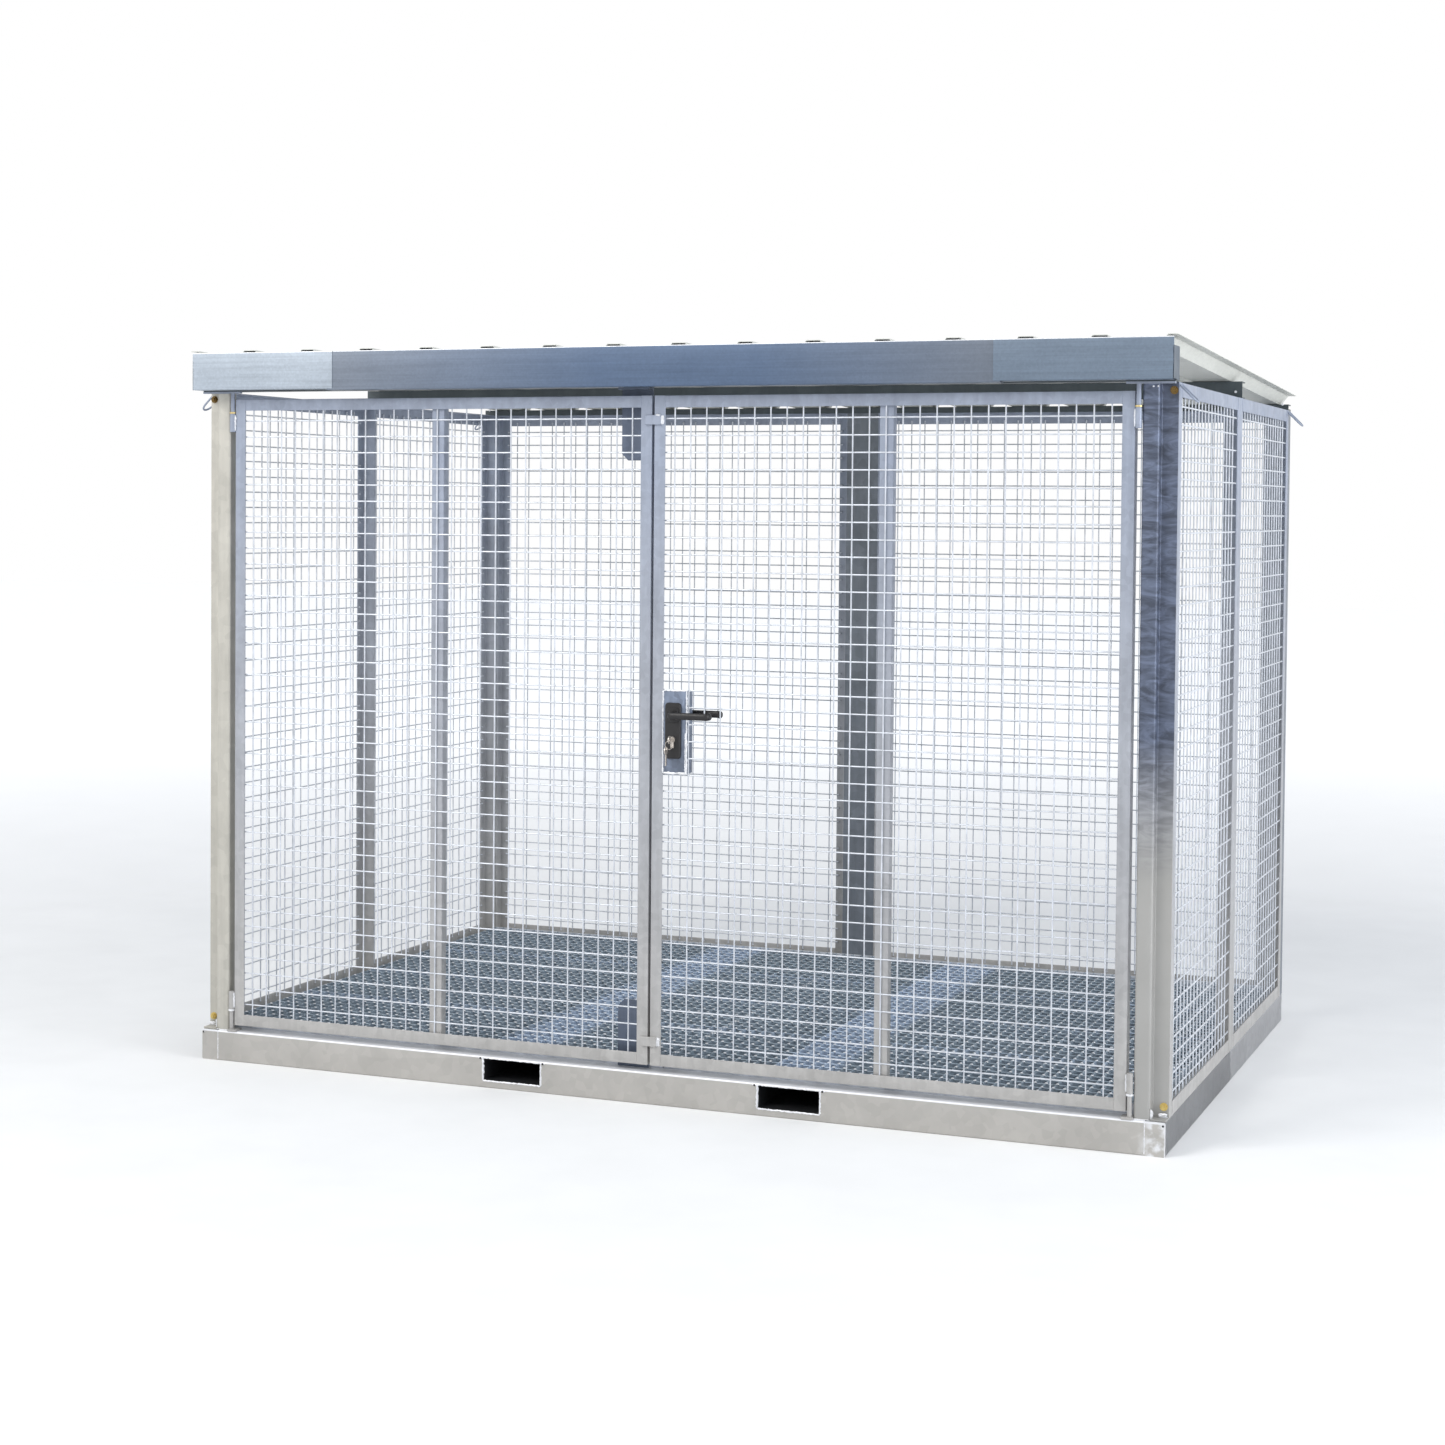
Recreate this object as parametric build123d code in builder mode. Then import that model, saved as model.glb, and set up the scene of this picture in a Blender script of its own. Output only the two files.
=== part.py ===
from build123d import *
import os
from math import cos, radians, sin, tan

# Walk-in cage for upright gas cylinders: a welded base with fork pockets, bolted mesh walls,
# a sloping profiled roof behind a folded fascia, and two hinged mesh doors at the front.
# X runs along the front, the front faces -Y, Z is up, and the origin is the middle of the footprint.

# Base frame of channel sections
BASE_WIDTH = 3090.0
BASE_DEPTH = 2010.0
BASE_HEIGHT = 96.0
BEAM_FLANGE = 75.0
BEAM_WEB_THICKNESS = 5.0
BEAM_FLANGE_THICKNESS = 8.0

# Fork pockets through the base
FORK_SPACING = 898.0
FORK_TUBE_WIDTH = 186.0
FORK_TUBE_HEIGHT = 61.0
FORK_TUBE_WALL = 4.0
FORK_TUBE_RADIUS = 12.0

# Floor
BEARER_COUNT = 3
BEARER_WIDTH = 50.0
BEARER_HEIGHT = 50.0
GRATING_HEIGHT = 30.0
GRATING_JOINT = 25.0
GRATING_GAP = 6.0
GRATING_EDGE_GAP = 6.0
GRATING_BAR = 5.0
GRATING_PITCH = 99.0

# Wall panels of angle sections and welded wire mesh, the mesh lapping behind the angles' flanges
WALL_HEIGHT = 2029.0
WALL_FLANGE = 40.0
SIDE_LEG = 50.0
REAR_LEG = 40.0
ANGLE = 4.0
REAR_CENTRE_POST_WIDTH = 120.0
SIDE_PANEL_COUNT = 2
WIRE = 5.0
WIRE_PITCH = 50.0
WIRE_STEP = 2
MESH_LAP = 10.0

# Folded front posts: a front flange, a web and a set-back flange with a foot tab
POST_SHEET = 5.0
POST_FRONT_SETBACK = 10.0
POST_FRONT_FLANGE = 42.0
POST_REAR_FLANGE_SETBACK = 45.0
FOOT_TAB_LENGTH = 38.0
BOLT_RADIUS = 5.0
BOLT_HEAD_RADIUS = 9.0
BOLT_HEAD = 9.0
TOP_BOLT_INSET = 12.0
TOP_BOLT_DROP = 22.5
FOOT_BOLT_INSET = 14.0
FOOT_SPACER = 24.0
FOOT_SPACER_HEIGHT = 20.0

# Roof
ROOF_SLOPE = 2.0
ROOF_FRONT_OVERHANG = 50.0
ROOF_REAR_OVERHANG = 22.0
RIB_PITCH = 207.0
RIB_CROWN = 40.0
RIB_WEB = 24.0
RIB_HEIGHT = 32.0
RIBS_PER_SHEET = 5
SHEET_COUNT = 3
SHEET_EDGE_LAP = 8.0
ROOF_SHEET = 2.0
PURLIN_WIDTH = 50.0
PURLIN_WALL = 4.0
REAR_PURLIN_HEIGHT = 20.0
MIDDLE_PURLIN_SETBACK = 1040.0

# Fascia in three folded sheets
FASCIA_WIDTH = 3100.0
FASCIA_HEIGHT = 120.0
FASCIA_BOTTOM_GAP = 1.0
FASCIA_SHEET = 2.0
FASCIA_RETURN = 40.0
FASCIA_END_LENGTH = 502.0
FASCIA_END_RISE = 4.0
FASCIA_LAP = 20.0
FASCIA_END_RETURN = 28.0
FASCIA_END_HEIGHT = 92.0
FASCIA_ARM_HEIGHT = 40.0
FASCIA_ARM_THICKNESS = 5.0
FASCIA_ARM_INSET = 60.0

# Lifting loops bent from round bar
LOOP_BAR = 6.0
LOOP_REACH = 47.0
LOOP_FALL = 47.0
LOOP_WIDTH = 45.0
LOOP_TOP_DROP = 6.5
LOOP_FRONT_SETBACK = 79.5
LOOP_REAR_SETBACK = 38.5
LOOP_ROOT = 12.0

# Doors
DOOR_FRONT_SETBACK = 10.0
DOOR_FLANGE = 35.0
DOOR_LEG = 40.0
DOOR_MEETING_GAP = 8.0
DOOR_BOTTOM_GAP = 19.0
DOOR_HEIGHT = 1985.0
STIFFENER_WIDTH = 42.0

# Pivot hinges
HINGE_GAP = 20.5
PIN_RADIUS = 6.8
PIN_CLEARANCE = 0.4
KNUCKLE_RADIUS = 9.3
KNUCKLE_LENGTH = 57.0
KNUCKLE_INSET = 45.0
HINGE_PLATE = 6.0
TOP_PLATE_LENGTH = 136.0
FOOT_PLATE_LENGTH = 46.0
WASHER_HEIGHT = 6.0
WASHER_RADIUS = 10.0
WASHER_PLAY = 0.4

# Lap tabs and stop plates where the doors meet
TAB_HEIGHT = 28.0
TAB_REACH = 20.5
TAB_FOOT = 21.5
TAB_THICKNESS = 5.0
TAB_CLEARANCE = 2.0
TAB_INSET = 57.5
STOP_LEFT = -120.0
STOP_RIGHT = -20.0
STOP_THICKNESS = 6.0
STOP_CLEARANCE = 6.0
TOP_STOP_HEIGHT = 215.0
BOTTOM_STOP_HEIGHT = 200.0
STOP_CHAMFER = 20.0

# Lock
LOCK_BOX_WIDTH = 77.0
LOCK_BOX_HEIGHT = 244.0
LOCK_BOX_BOTTOM = 988.0
HANDLE_HEIGHT = 1160.0
HANDLE_OFFSET = 33.0
ESCUTCHEON_WIDTH = 50.0
ESCUTCHEON_HEIGHT = 165.0
ESCUTCHEON_THICKNESS = 7.0
ESCUTCHEON_RISE = 36.0
SPINDLE = 8.0
SPINDLE_HOLE_RADIUS = 6.5
LEVER_LENGTH = 130.0
LEVER_WIDTH = 21.0
LEVER_THICKNESS = 11.0
LEVER_STANDOFF = 38.0
LEVER_RETURN = 24.0
LEVER_PLAY = 0.5
CYLINDER_DISTANCE = 72.0
CYLINDER_RADIUS = 8.5
CYLINDER_TAIL = 10.0
CYLINDER_HEIGHT = 33.0
CYLINDER_PROUD = 3.0
KEY_THICKNESS = 2.5
KEY_BOW_RADIUS = 12.0
KEY_NECK = 9.0
KEY_REACH = 30.0
KEY_HOLE_RADIUS = 3.5
KEY_RING_RADIUS = 12.0
KEY_RING_BAR = 1.6
KEY_RING_PRESS = 0.1
SPARE_KEY_LENGTH = 56.0
SPARE_KEY_SHIFT = 9.0

# Places worked out from the sizes above
front_reach = ROOF_FRONT_OVERHANG + 2 * FASCIA_SHEET
front = front_reach - (front_reach + BASE_DEPTH + ROOF_REAR_OVERHANG) / 2
rear = front + BASE_DEPTH
half_width = BASE_WIDTH / 2
wall_bottom = BASE_HEIGHT
wall_top = wall_bottom + WALL_HEIGHT
side_start = front + POST_REAR_FLANGE_SETBACK + POST_SHEET
rear_wall_front = rear - REAR_LEG
side_panel_length = (rear_wall_front - side_start) / SIDE_PANEL_COUNT
side_inner = half_width - SIDE_LEG
grating_top = BASE_HEIGHT + GRATING_HEIGHT
door_front = front + DOOR_FRONT_SETBACK
door_back = door_front + DOOR_LEG
door_bottom = BASE_HEIGHT + DOOR_BOTTOM_GAP
door_top = door_bottom + DOOR_HEIGHT
post_web_outer = side_inner + POST_SHEET
post_inner = post_web_outer - POST_SHEET - POST_FRONT_FLANGE
door_inner_edge = DOOR_MEETING_GAP / 2
door_outer_edge = post_inner - HINGE_GAP
hinge_x = door_outer_edge + HINGE_GAP / 2
hinge_y = door_front
top_knuckle_top = door_top - KNUCKLE_INSET
bottom_knuckle_bottom = door_bottom + KNUCKLE_INSET + WASHER_HEIGHT
door_mesh_y = door_front + ANGLE
lock_box_left = door_inner_edge + DOOR_FLANGE
handle_x = lock_box_left + HANDLE_OFFSET
cylinder_z = HANDLE_HEIGHT - CYLINDER_DISTANCE
escutcheon_top = HANDLE_HEIGHT + ESCUTCHEON_RISE

os.makedirs("parts", exist_ok=True)


def save(piece, name):
    """Label a finished piece and write its STEP file."""
    piece.part.label = name
    export_step(piece.part, f"parts/{name}.step")


def block(x, y, z, mode=Mode.ADD):
    """A box between two X, two Y and two Z values."""
    with Locations(((x[0] + x[1]) / 2, (y[0] + y[1]) / 2, (z[0] + z[1]) / 2)):
        Box(abs(x[1] - x[0]), abs(y[1] - y[0]), abs(z[1] - z[0]), mode=mode)


def area(x, y, mode=Mode.ADD):
    """A rectangle between two values of each axis of a sketch."""
    with Locations(((x[0] + x[1]) / 2, (y[0] + y[1]) / 2)):
        Rectangle(abs(x[1] - x[0]), abs(y[1] - y[0]), mode=mode)


def front_plane(back):
    """A sketch plane seen from the front: X across, Z up, extruding forwards from y = back."""
    return Plane.XZ.offset(-back)


def wire_places(low, high, pitch=WIRE_PITCH):
    """Every WIRE_STEP-th wire of an evenly pitched row that is centred between two edges."""
    count = int((high - low - WIRE) // pitch)
    start = (low + high - count * pitch) / 2
    return [start + i * pitch for i in range(0, count + 1, WIRE_STEP)]


def bars(across, up, width, columns, rows):
    """Crossing bars of a sketch, fused where they cross, filling a rectangle."""
    with Locations(*[(x, sum(up) / 2) for x in columns]):
        Rectangle(width, up[1] - up[0])
    with Locations(*[(sum(across) / 2, z) for z in rows]):
        Rectangle(across[1] - across[0], width)


def widened(span, by):
    """A pair of low and high values moved apart, or together by a negative amount."""
    return (span[0] - by, span[1] + by)


def wires(across, up):
    """Welded wire mesh over the opening of a frame, lapping behind the frame on every side."""
    bars(widened(across, MESH_LAP), widened(up, MESH_LAP), WIRE, wire_places(*across), wire_places(*up))


def ring(across, up, width):
    """A rectangular ring of a sketch, as wide on all sides."""
    area(across, up)
    area(widened(across, -width), widened(up, -width), Mode.SUBTRACT)


def angle_frame(plane, across, up, flange, depth, flange_offset):
    """A rectangular frame of angle sections: legs around its outside, flanges around its opening."""
    with BuildPart() as frame:
        with BuildSketch(plane):
            ring(across, up, ANGLE)
        extrude(amount=depth)
        with BuildSketch(plane.offset(flange_offset)):
            ring(across, up, flange)
        extrude(amount=ANGLE)
    return frame


# Base


def fork_places():
    return [(-FORK_SPACING / 2, fork_z), (FORK_SPACING / 2, fork_z)]


fork_z = BASE_HEIGHT - BEAM_FLANGE_THICKNESS - FORK_TUBE_HEIGHT / 2


def cross_beam(web_y, inward):
    """Front or rear channel with closed ends and two cut-outs for the fork tubes."""
    flange_y = web_y + inward * BEAM_FLANGE
    inner_y = web_y + inward * BEAM_WEB_THICKNESS
    inner_x = half_width - BEAM_WEB_THICKNESS
    flange = (BEAM_FLANGE_THICKNESS, BASE_HEIGHT - BEAM_FLANGE_THICKNESS)
    with BuildPart() as beam:
        block((-half_width, half_width), (web_y, flange_y), (0, BASE_HEIGHT))
        block((-inner_x, inner_x), (inner_y, flange_y + inward), flange, Mode.SUBTRACT)
        with BuildSketch(front_plane(max(web_y, inner_y) + 1)):
            with Locations(*fork_places()):
                RectangleRounded(FORK_TUBE_WIDTH, FORK_TUBE_HEIGHT, FORK_TUBE_RADIUS)
        extrude(amount=BEAM_WEB_THICKNESS + 2, mode=Mode.SUBTRACT)
    return beam


def side_beam(side):
    """Side channel between the front and rear beams, open towards the middle."""
    web_x = side * half_width
    flange_x = side * (half_width - BEAM_FLANGE)
    inner_x = side * (half_width - BEAM_WEB_THICKNESS)
    length = (front + BEAM_FLANGE, rear - BEAM_FLANGE)
    flange = (BEAM_FLANGE_THICKNESS, BASE_HEIGHT - BEAM_FLANGE_THICKNESS)
    with BuildPart() as beam:
        block((web_x, flange_x), length, (0, BASE_HEIGHT))
        block((inner_x, flange_x - side), length, flange, Mode.SUBTRACT)
    return beam


save(cross_beam(front, 1), "front_beam")
save(cross_beam(rear, -1), "rear_beam")
save(side_beam(-1), "left_beam")
save(side_beam(1), "right_beam")

with BuildPart() as fork_tubes:
    with BuildSketch(front_plane(rear)):
        with Locations(*fork_places()):
            RectangleRounded(FORK_TUBE_WIDTH, FORK_TUBE_HEIGHT, FORK_TUBE_RADIUS)
            RectangleRounded(
                FORK_TUBE_WIDTH - 2 * FORK_TUBE_WALL,
                FORK_TUBE_HEIGHT - 2 * FORK_TUBE_WALL,
                FORK_TUBE_RADIUS - FORK_TUBE_WALL,
                mode=Mode.SUBTRACT,
            )
    extrude(amount=BASE_DEPTH)
save(fork_tubes, "fork_tubes")

with BuildPart() as floor_bearers:
    bearer_pitch = (BASE_DEPTH - 2 * BEAM_FLANGE) / (BEARER_COUNT + 1)
    bearer_end = half_width - BEAM_FLANGE
    for i in range(BEARER_COUNT):
        bearer_y = front + BEAM_FLANGE + (i + 1) * bearer_pitch
        bearer = (bearer_y - BEARER_WIDTH / 2, bearer_y + BEARER_WIDTH / 2)
        block((-bearer_end, bearer_end), bearer, (BASE_HEIGHT - BEARER_HEIGHT, BASE_HEIGHT))
    with BuildSketch(front_plane(rear)):
        with Locations(*fork_places()):
            RectangleRounded(FORK_TUBE_WIDTH, FORK_TUBE_HEIGHT, FORK_TUBE_RADIUS)
    extrude(amount=BASE_DEPTH, mode=Mode.SUBTRACT)
save(floor_bearers, "floor_bearers")


def grating_places(low, high):
    """Middles of the grating's bars, the outer ones flush with its edges."""
    count = round((high - low) / GRATING_PITCH)
    step = (high - low - GRATING_BAR) / count
    return [low + GRATING_BAR / 2 + i * step for i in range(count + 1)]


with BuildPart() as floor_grating:
    grating_left = -side_inner + GRATING_EDGE_GAP
    grating_front = door_back + STOP_CLEARANCE + STOP_THICKNESS + GRATING_EDGE_GAP
    grating_back = rear_wall_front - GRATING_EDGE_GAP
    joint = (GRATING_JOINT - GRATING_GAP / 2, GRATING_JOINT + GRATING_GAP / 2)
    with BuildSketch(Plane.XY.offset(BASE_HEIGHT)):
        for left, right in ((grating_left, joint[0]), (joint[1], -grating_left)):
            bars(
                (left, right),
                (grating_front, grating_back),
                GRATING_BAR,
                grating_places(left, right),
                grating_places(grating_front, grating_back),
            )
    extrude(amount=GRATING_HEIGHT)
save(floor_grating, "floor_grating")

# Side walls: two framed mesh panels on each side

for side, side_name in ((-1, "left"), (1, "right")):
    left_plane = Plane.YZ.offset(min(side * half_width, side * side_inner))
    flange_offset = 0 if side < 0 else SIDE_LEG - ANGLE
    for i, place in enumerate(("front", "rear")):
        start = side_start + i * side_panel_length
        across = (start, start + side_panel_length)
        save(
            angle_frame(left_plane, across, (wall_bottom, wall_top), WALL_FLANGE, SIDE_LEG, flange_offset),
            f"{side_name}_wall_{place}_frame",
        )
    mesh_x = side * (half_width - ANGLE - WIRE / 2) - WIRE / 2
    with BuildPart() as side_mesh:
        for i in range(SIDE_PANEL_COUNT):
            start = side_start + i * side_panel_length
            across = widened((start, start + side_panel_length), -WALL_FLANGE)
            up = widened((wall_bottom, wall_top), -WALL_FLANGE)
            with BuildSketch(Plane.YZ.offset(mesh_x)):
                wires(across, up)
            extrude(amount=WIRE)
    save(side_mesh, f"{side_name}_wall_mesh")

# Rear wall: corner posts, a centre post and two framed mesh panels

with BuildPart() as rear_posts:
    for post in (
        (-half_width, -side_inner),
        (-REAR_CENTRE_POST_WIDTH / 2, REAR_CENTRE_POST_WIDTH / 2),
        (side_inner, half_width),
    ):
        block(post, (rear_wall_front, rear), (wall_bottom, wall_top))
save(rear_posts, "rear_posts")

rear_panel = (REAR_CENTRE_POST_WIDTH / 2, side_inner)
for side, side_name in ((-1, "left"), (1, "right")):
    across = tuple(sorted(side * x for x in rear_panel))
    save(
        angle_frame(front_plane(rear), across, (wall_bottom, wall_top), WALL_FLANGE, REAR_LEG, 0),
        f"rear_wall_{side_name}_frame",
    )

with BuildPart() as rear_mesh:
    up = widened((wall_bottom, wall_top), -WALL_FLANGE)
    with BuildSketch(front_plane(rear - ANGLE)):
        for side in (-1, 1):
            across = sorted(side * x for x in rear_panel)
            wires(widened(across, -WALL_FLANGE), up)
    extrude(amount=WIRE)
save(rear_mesh, "rear_wall_mesh")

# Front posts, folded from sheet, each with a foot tab bolted to the base

tab_y = (front + POST_REAR_FLANGE_SETBACK - FOOT_TAB_LENGTH, front + POST_REAR_FLANGE_SETBACK)
tab_x = (post_web_outer, half_width)
foot_bolt = (half_width - FOOT_BOLT_INSET, sum(tab_y) / 2)
for side, side_name in ((-1, "left"), (1, "right")):
    web_inner = post_web_outer - POST_SHEET
    flange_y = front + POST_FRONT_SETBACK
    rear_flange_y = front + POST_REAR_FLANGE_SETBACK
    with BuildPart() as post:
        with BuildSketch(Plane.XY.offset(wall_bottom)):
            area((side * post_inner, side * post_web_outer), (flange_y, flange_y + POST_SHEET))
            area((side * web_inner, side * post_web_outer), (flange_y, rear_flange_y + POST_SHEET))
            area((side * web_inner, side * half_width), (rear_flange_y, rear_flange_y + POST_SHEET))
            area((side * post_inner, side * (post_inner + POST_SHEET)), (flange_y, rear_flange_y))
        extrude(amount=WALL_HEIGHT)
        block((side * tab_x[0], side * tab_x[1]), tab_y, (wall_bottom, wall_bottom + POST_SHEET))
        with Locations((side * foot_bolt[0], foot_bolt[1], wall_bottom)):
            Cylinder(BOLT_RADIUS, 3 * POST_SHEET, mode=Mode.SUBTRACT)
    save(post, f"{side_name}_front_post")

standing = (Align.CENTER, Align.CENTER, Align.MIN)
with BuildPart() as corner_bolts:
    for side in (-1, 1):
        with Locations((side * foot_bolt[0], foot_bolt[1], wall_bottom)):
            Cylinder(BOLT_RADIUS, POST_SHEET, align=standing)
        with Locations((side * foot_bolt[0], foot_bolt[1], wall_bottom + POST_SHEET)):
            Box(FOOT_SPACER, FOOT_SPACER, FOOT_SPACER_HEIGHT, align=standing)
        with Locations((side * foot_bolt[0], foot_bolt[1], wall_bottom + POST_SHEET + FOOT_SPACER_HEIGHT)):
            Cylinder(BOLT_HEAD_RADIUS, BOLT_HEAD, align=standing)
        with BuildSketch(front_plane(front + POST_REAR_FLANGE_SETBACK)):
            with Locations((side * (half_width - TOP_BOLT_INSET), wall_top - TOP_BOLT_DROP)):
                Circle(BOLT_HEAD_RADIUS)
        extrude(amount=BOLT_HEAD)
save(corner_bolts, "corner_bolts")

# Roof: purlins, three profiled sheets and the fascia

slope = radians(ROOF_SLOPE)
roof_front = front - ROOF_FRONT_OVERHANG
roof_rear = rear + ROOF_REAR_OVERHANG


def roof_underside(y):
    """Height of the sheets' underside above the ground at a place between front and rear."""
    return wall_top + REAR_PURLIN_HEIGHT + (rear - y) * tan(slope)


def purlin(near):
    """Channel along the front of the roof space, open to the rear, from y = near."""
    far = near + PURLIN_WIDTH
    top = roof_underside(far)
    with BuildPart() as bar:
        block((-half_width, half_width), (near, far), (wall_top, top))
        block(
            (-half_width, half_width),
            (near + PURLIN_WALL, far + 1),
            (wall_top + PURLIN_WALL, top - PURLIN_WALL),
            Mode.SUBTRACT,
        )
    return bar


with BuildPart() as front_purlin:
    add(purlin(front).part)
    arm_z = (wall_top + FASCIA_ARM_HEIGHT / 4, wall_top + FASCIA_ARM_HEIGHT * 5 / 4)
    arm_limit = half_width - FASCIA_ARM_INSET
    for x in (-arm_limit, -arm_limit / 3, arm_limit / 3, arm_limit):
        arm_x = (x - FASCIA_ARM_THICKNESS / 2, x + FASCIA_ARM_THICKNESS / 2)
        arm_tip = roof_front - (FASCIA_SHEET if abs(x) == arm_limit else 0)
        block(arm_x, (arm_tip, front), arm_z)
save(front_purlin, "front_purlin")
save(purlin(front + MIDDLE_PURLIN_SETBACK), "middle_purlin")
save(purlin(rear - PURLIN_WIDTH), "rear_purlin")


def rib_line(first, count, rise):
    """Points along a row of trapezoidal ribs, from crown middle to crown middle."""
    points = []
    for i in range(count):
        x = first + i * RIB_PITCH
        points.append((x + RIB_CROWN / 2, rise + RIB_HEIGHT))
        points.append((x + RIB_CROWN / 2 + RIB_WEB, rise))
        points.append((x + RIB_PITCH - RIB_CROWN / 2 - RIB_WEB, rise))
        points.append((x + RIB_PITCH - RIB_CROWN / 2, rise + RIB_HEIGHT))
    return points


sheet_width = RIBS_PER_SHEET * RIB_PITCH
roof_half = SHEET_COUNT * sheet_width / 2
sheet_end = roof_rear - (RIB_HEIGHT + ROOF_SHEET) * sin(slope)
roof_plane = Plane(
    origin=(0, sheet_end, roof_underside(sheet_end)), x_dir=(1, 0, 0), z_dir=(0, -cos(slope), sin(slope))
)
for i, sheet_name in enumerate(("left", "middle", "right")):
    sheet_left = -roof_half + i * sheet_width
    low = sheet_left - (SHEET_EDGE_LAP if i == 0 else 0)
    high = sheet_left + sheet_width + (SHEET_EDGE_LAP if i == SHEET_COUNT - 1 else 0)
    under = [(low, RIB_HEIGHT)] + rib_line(sheet_left, RIBS_PER_SHEET, 0) + [(high, RIB_HEIGHT)]
    over = [(x, z + ROOF_SHEET) for x, z in reversed(under)]
    with BuildPart() as sheet:
        with BuildSketch(roof_plane):
            with BuildLine():
                Polyline(*under, *over, close=True)
            make_face()
        extrude(amount=(sheet_end - roof_front) / cos(slope))
    save(sheet, f"{sheet_name}_roof_sheet")

fascia_bottom = wall_top - FASCIA_BOTTOM_GAP
fascia_top = fascia_bottom + FASCIA_HEIGHT


def fascia(face, returns, outer_y, bottom, closed_end=None):
    """Folded fascia sheet: a face, a return along its bottom edge and, on an end piece, a closed end."""
    inner_y = outer_y + FASCIA_SHEET
    with BuildPart() as sheet:
        block(face, (outer_y, inner_y), (bottom, fascia_top))
        block(returns, (outer_y, outer_y + FASCIA_RETURN), (bottom, bottom + FASCIA_SHEET))
        if closed_end:
            block(closed_end, (outer_y, outer_y + FASCIA_END_RETURN), (bottom, bottom + FASCIA_END_HEIGHT))
    return sheet


fascia_half = FASCIA_WIDTH / 2
middle_half = fascia_half - FASCIA_END_LENGTH + FASCIA_LAP
for side, side_name in ((-1, "left"), (1, "right")):
    end_face = (side * (fascia_half - FASCIA_END_LENGTH), side * fascia_half)
    end_return = (side * middle_half, side * fascia_half)
    closed_end = (side * (fascia_half - FASCIA_SHEET), side * fascia_half)
    end_outer_y = roof_front - 2 * FASCIA_SHEET
    end_bottom = fascia_bottom + FASCIA_END_RISE
    save(fascia(end_face, end_return, end_outer_y, end_bottom, closed_end), f"{side_name}_fascia")
middle_face = (-middle_half, middle_half)
save(fascia(middle_face, middle_face, roof_front - FASCIA_SHEET, fascia_bottom), "middle_fascia")

# Lifting loops at the four top corners

loop_top = wall_top - LOOP_TOP_DROP


def lifting_loop(side, y):
    """One round loop standing out and down from the face of a side wall, its middle at y."""
    wall_x = side * half_width
    out = (LOOP_REACH ** 2 + LOOP_FALL ** 2) ** 0.5 - LOOP_WIDTH / 2
    away = (side * LOOP_REACH, 0, -LOOP_FALL)
    sloping = Plane(origin=(wall_x, y, loop_top), x_dir=away, z_dir=Vector(*away).cross(Vector(0, 1, 0)))
    half = LOOP_WIDTH / 2
    with BuildPart() as loop:
        with BuildLine(sloping) as route:
            Line((-LOOP_ROOT, -half), (out, -half))
            ThreePointArc((out, -half), (out + half, 0), (out, half))
            Line((out, half), (-LOOP_ROOT, half))
        with BuildSketch(Plane(origin=route.line @ 0, z_dir=route.line % 0)):
            Circle(LOOP_BAR / 2)
        sweep()
        inside = (wall_x, wall_x - side * LOOP_REACH)
        block(inside, (y - LOOP_WIDTH, y + LOOP_WIDTH), widened((loop_top, loop_top), LOOP_FALL), Mode.SUBTRACT)
    return loop.part


with BuildPart() as lifting_loops:
    for side in (-1, 1):
        for y in (front + LOOP_FRONT_SETBACK, rear - LOOP_REAR_SETBACK):
            add(lifting_loop(side, y))
save(lifting_loops, "lifting_loops")

# Stop plates behind the left leaf's meeting stile

stop_y = (door_back + STOP_CLEARANCE, door_back + STOP_CLEARANCE + STOP_THICKNESS)
with BuildPart() as door_stops:
    top_stop = wall_top - TOP_STOP_HEIGHT
    bottom_stop = BASE_HEIGHT + BOTTOM_STOP_HEIGHT
    with BuildSketch(front_plane(stop_y[1])):
        for edge, far in ((wall_top, top_stop), (BASE_HEIGHT, bottom_stop)):
            inward = STOP_CHAMFER if far < edge else -STOP_CHAMFER
            with BuildLine():
                Polyline(
                    (STOP_LEFT, edge),
                    (STOP_RIGHT, edge),
                    (STOP_RIGHT, far + inward),
                    (STOP_RIGHT - STOP_CHAMFER, far),
                    (STOP_LEFT + STOP_CHAMFER, far),
                    (STOP_LEFT, far + inward),
                    close=True,
                )
            make_face()
    extrude(amount=STOP_THICKNESS)
    # a lip carries the top plate on the underside of the front purlin
    block((STOP_LEFT, STOP_RIGHT), (door_back - PURLIN_WIDTH / 2, stop_y[1]), (wall_top - STOP_THICKNESS, wall_top))
save(door_stops, "door_stops")

# Fixed hinge pins on their plates, with a washer over each top knuckle

bottom_knuckle_top = bottom_knuckle_bottom + KNUCKLE_LENGTH
top_knuckle_bottom = top_knuckle_top - KNUCKLE_LENGTH
plate_back = front + POST_FRONT_SETBACK
with BuildPart() as hinge_pins:
    for side in (-1, 1):
        top_plate = (side * (half_width - TOP_PLATE_LENGTH), side * half_width)
        plate_y = (hinge_y - WASHER_RADIUS - 2, plate_back)
        top_plate_bottom = wall_top - HINGE_PLATE
        block(top_plate, plate_y, (top_plate_bottom, wall_top))
        block((side * (hinge_x - FOOT_PLATE_LENGTH / 2), side * (hinge_x + HINGE_GAP / 2)),
              (plate_y[0], plate_y[1] + FOOT_PLATE_LENGTH / 2), (BASE_HEIGHT, BASE_HEIGHT + HINGE_PLATE))
        with Locations((side * hinge_x, hinge_y, (top_plate_bottom + top_knuckle_bottom + 1) / 2)):
            Cylinder(PIN_RADIUS, top_plate_bottom - top_knuckle_bottom - 1)
        pin_bottom = BASE_HEIGHT + HINGE_PLATE
        with Locations((side * hinge_x, hinge_y, (pin_bottom + bottom_knuckle_top - 1) / 2)):
            Cylinder(PIN_RADIUS, bottom_knuckle_top - 1 - pin_bottom)
save(hinge_pins, "hinge_pins")

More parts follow.
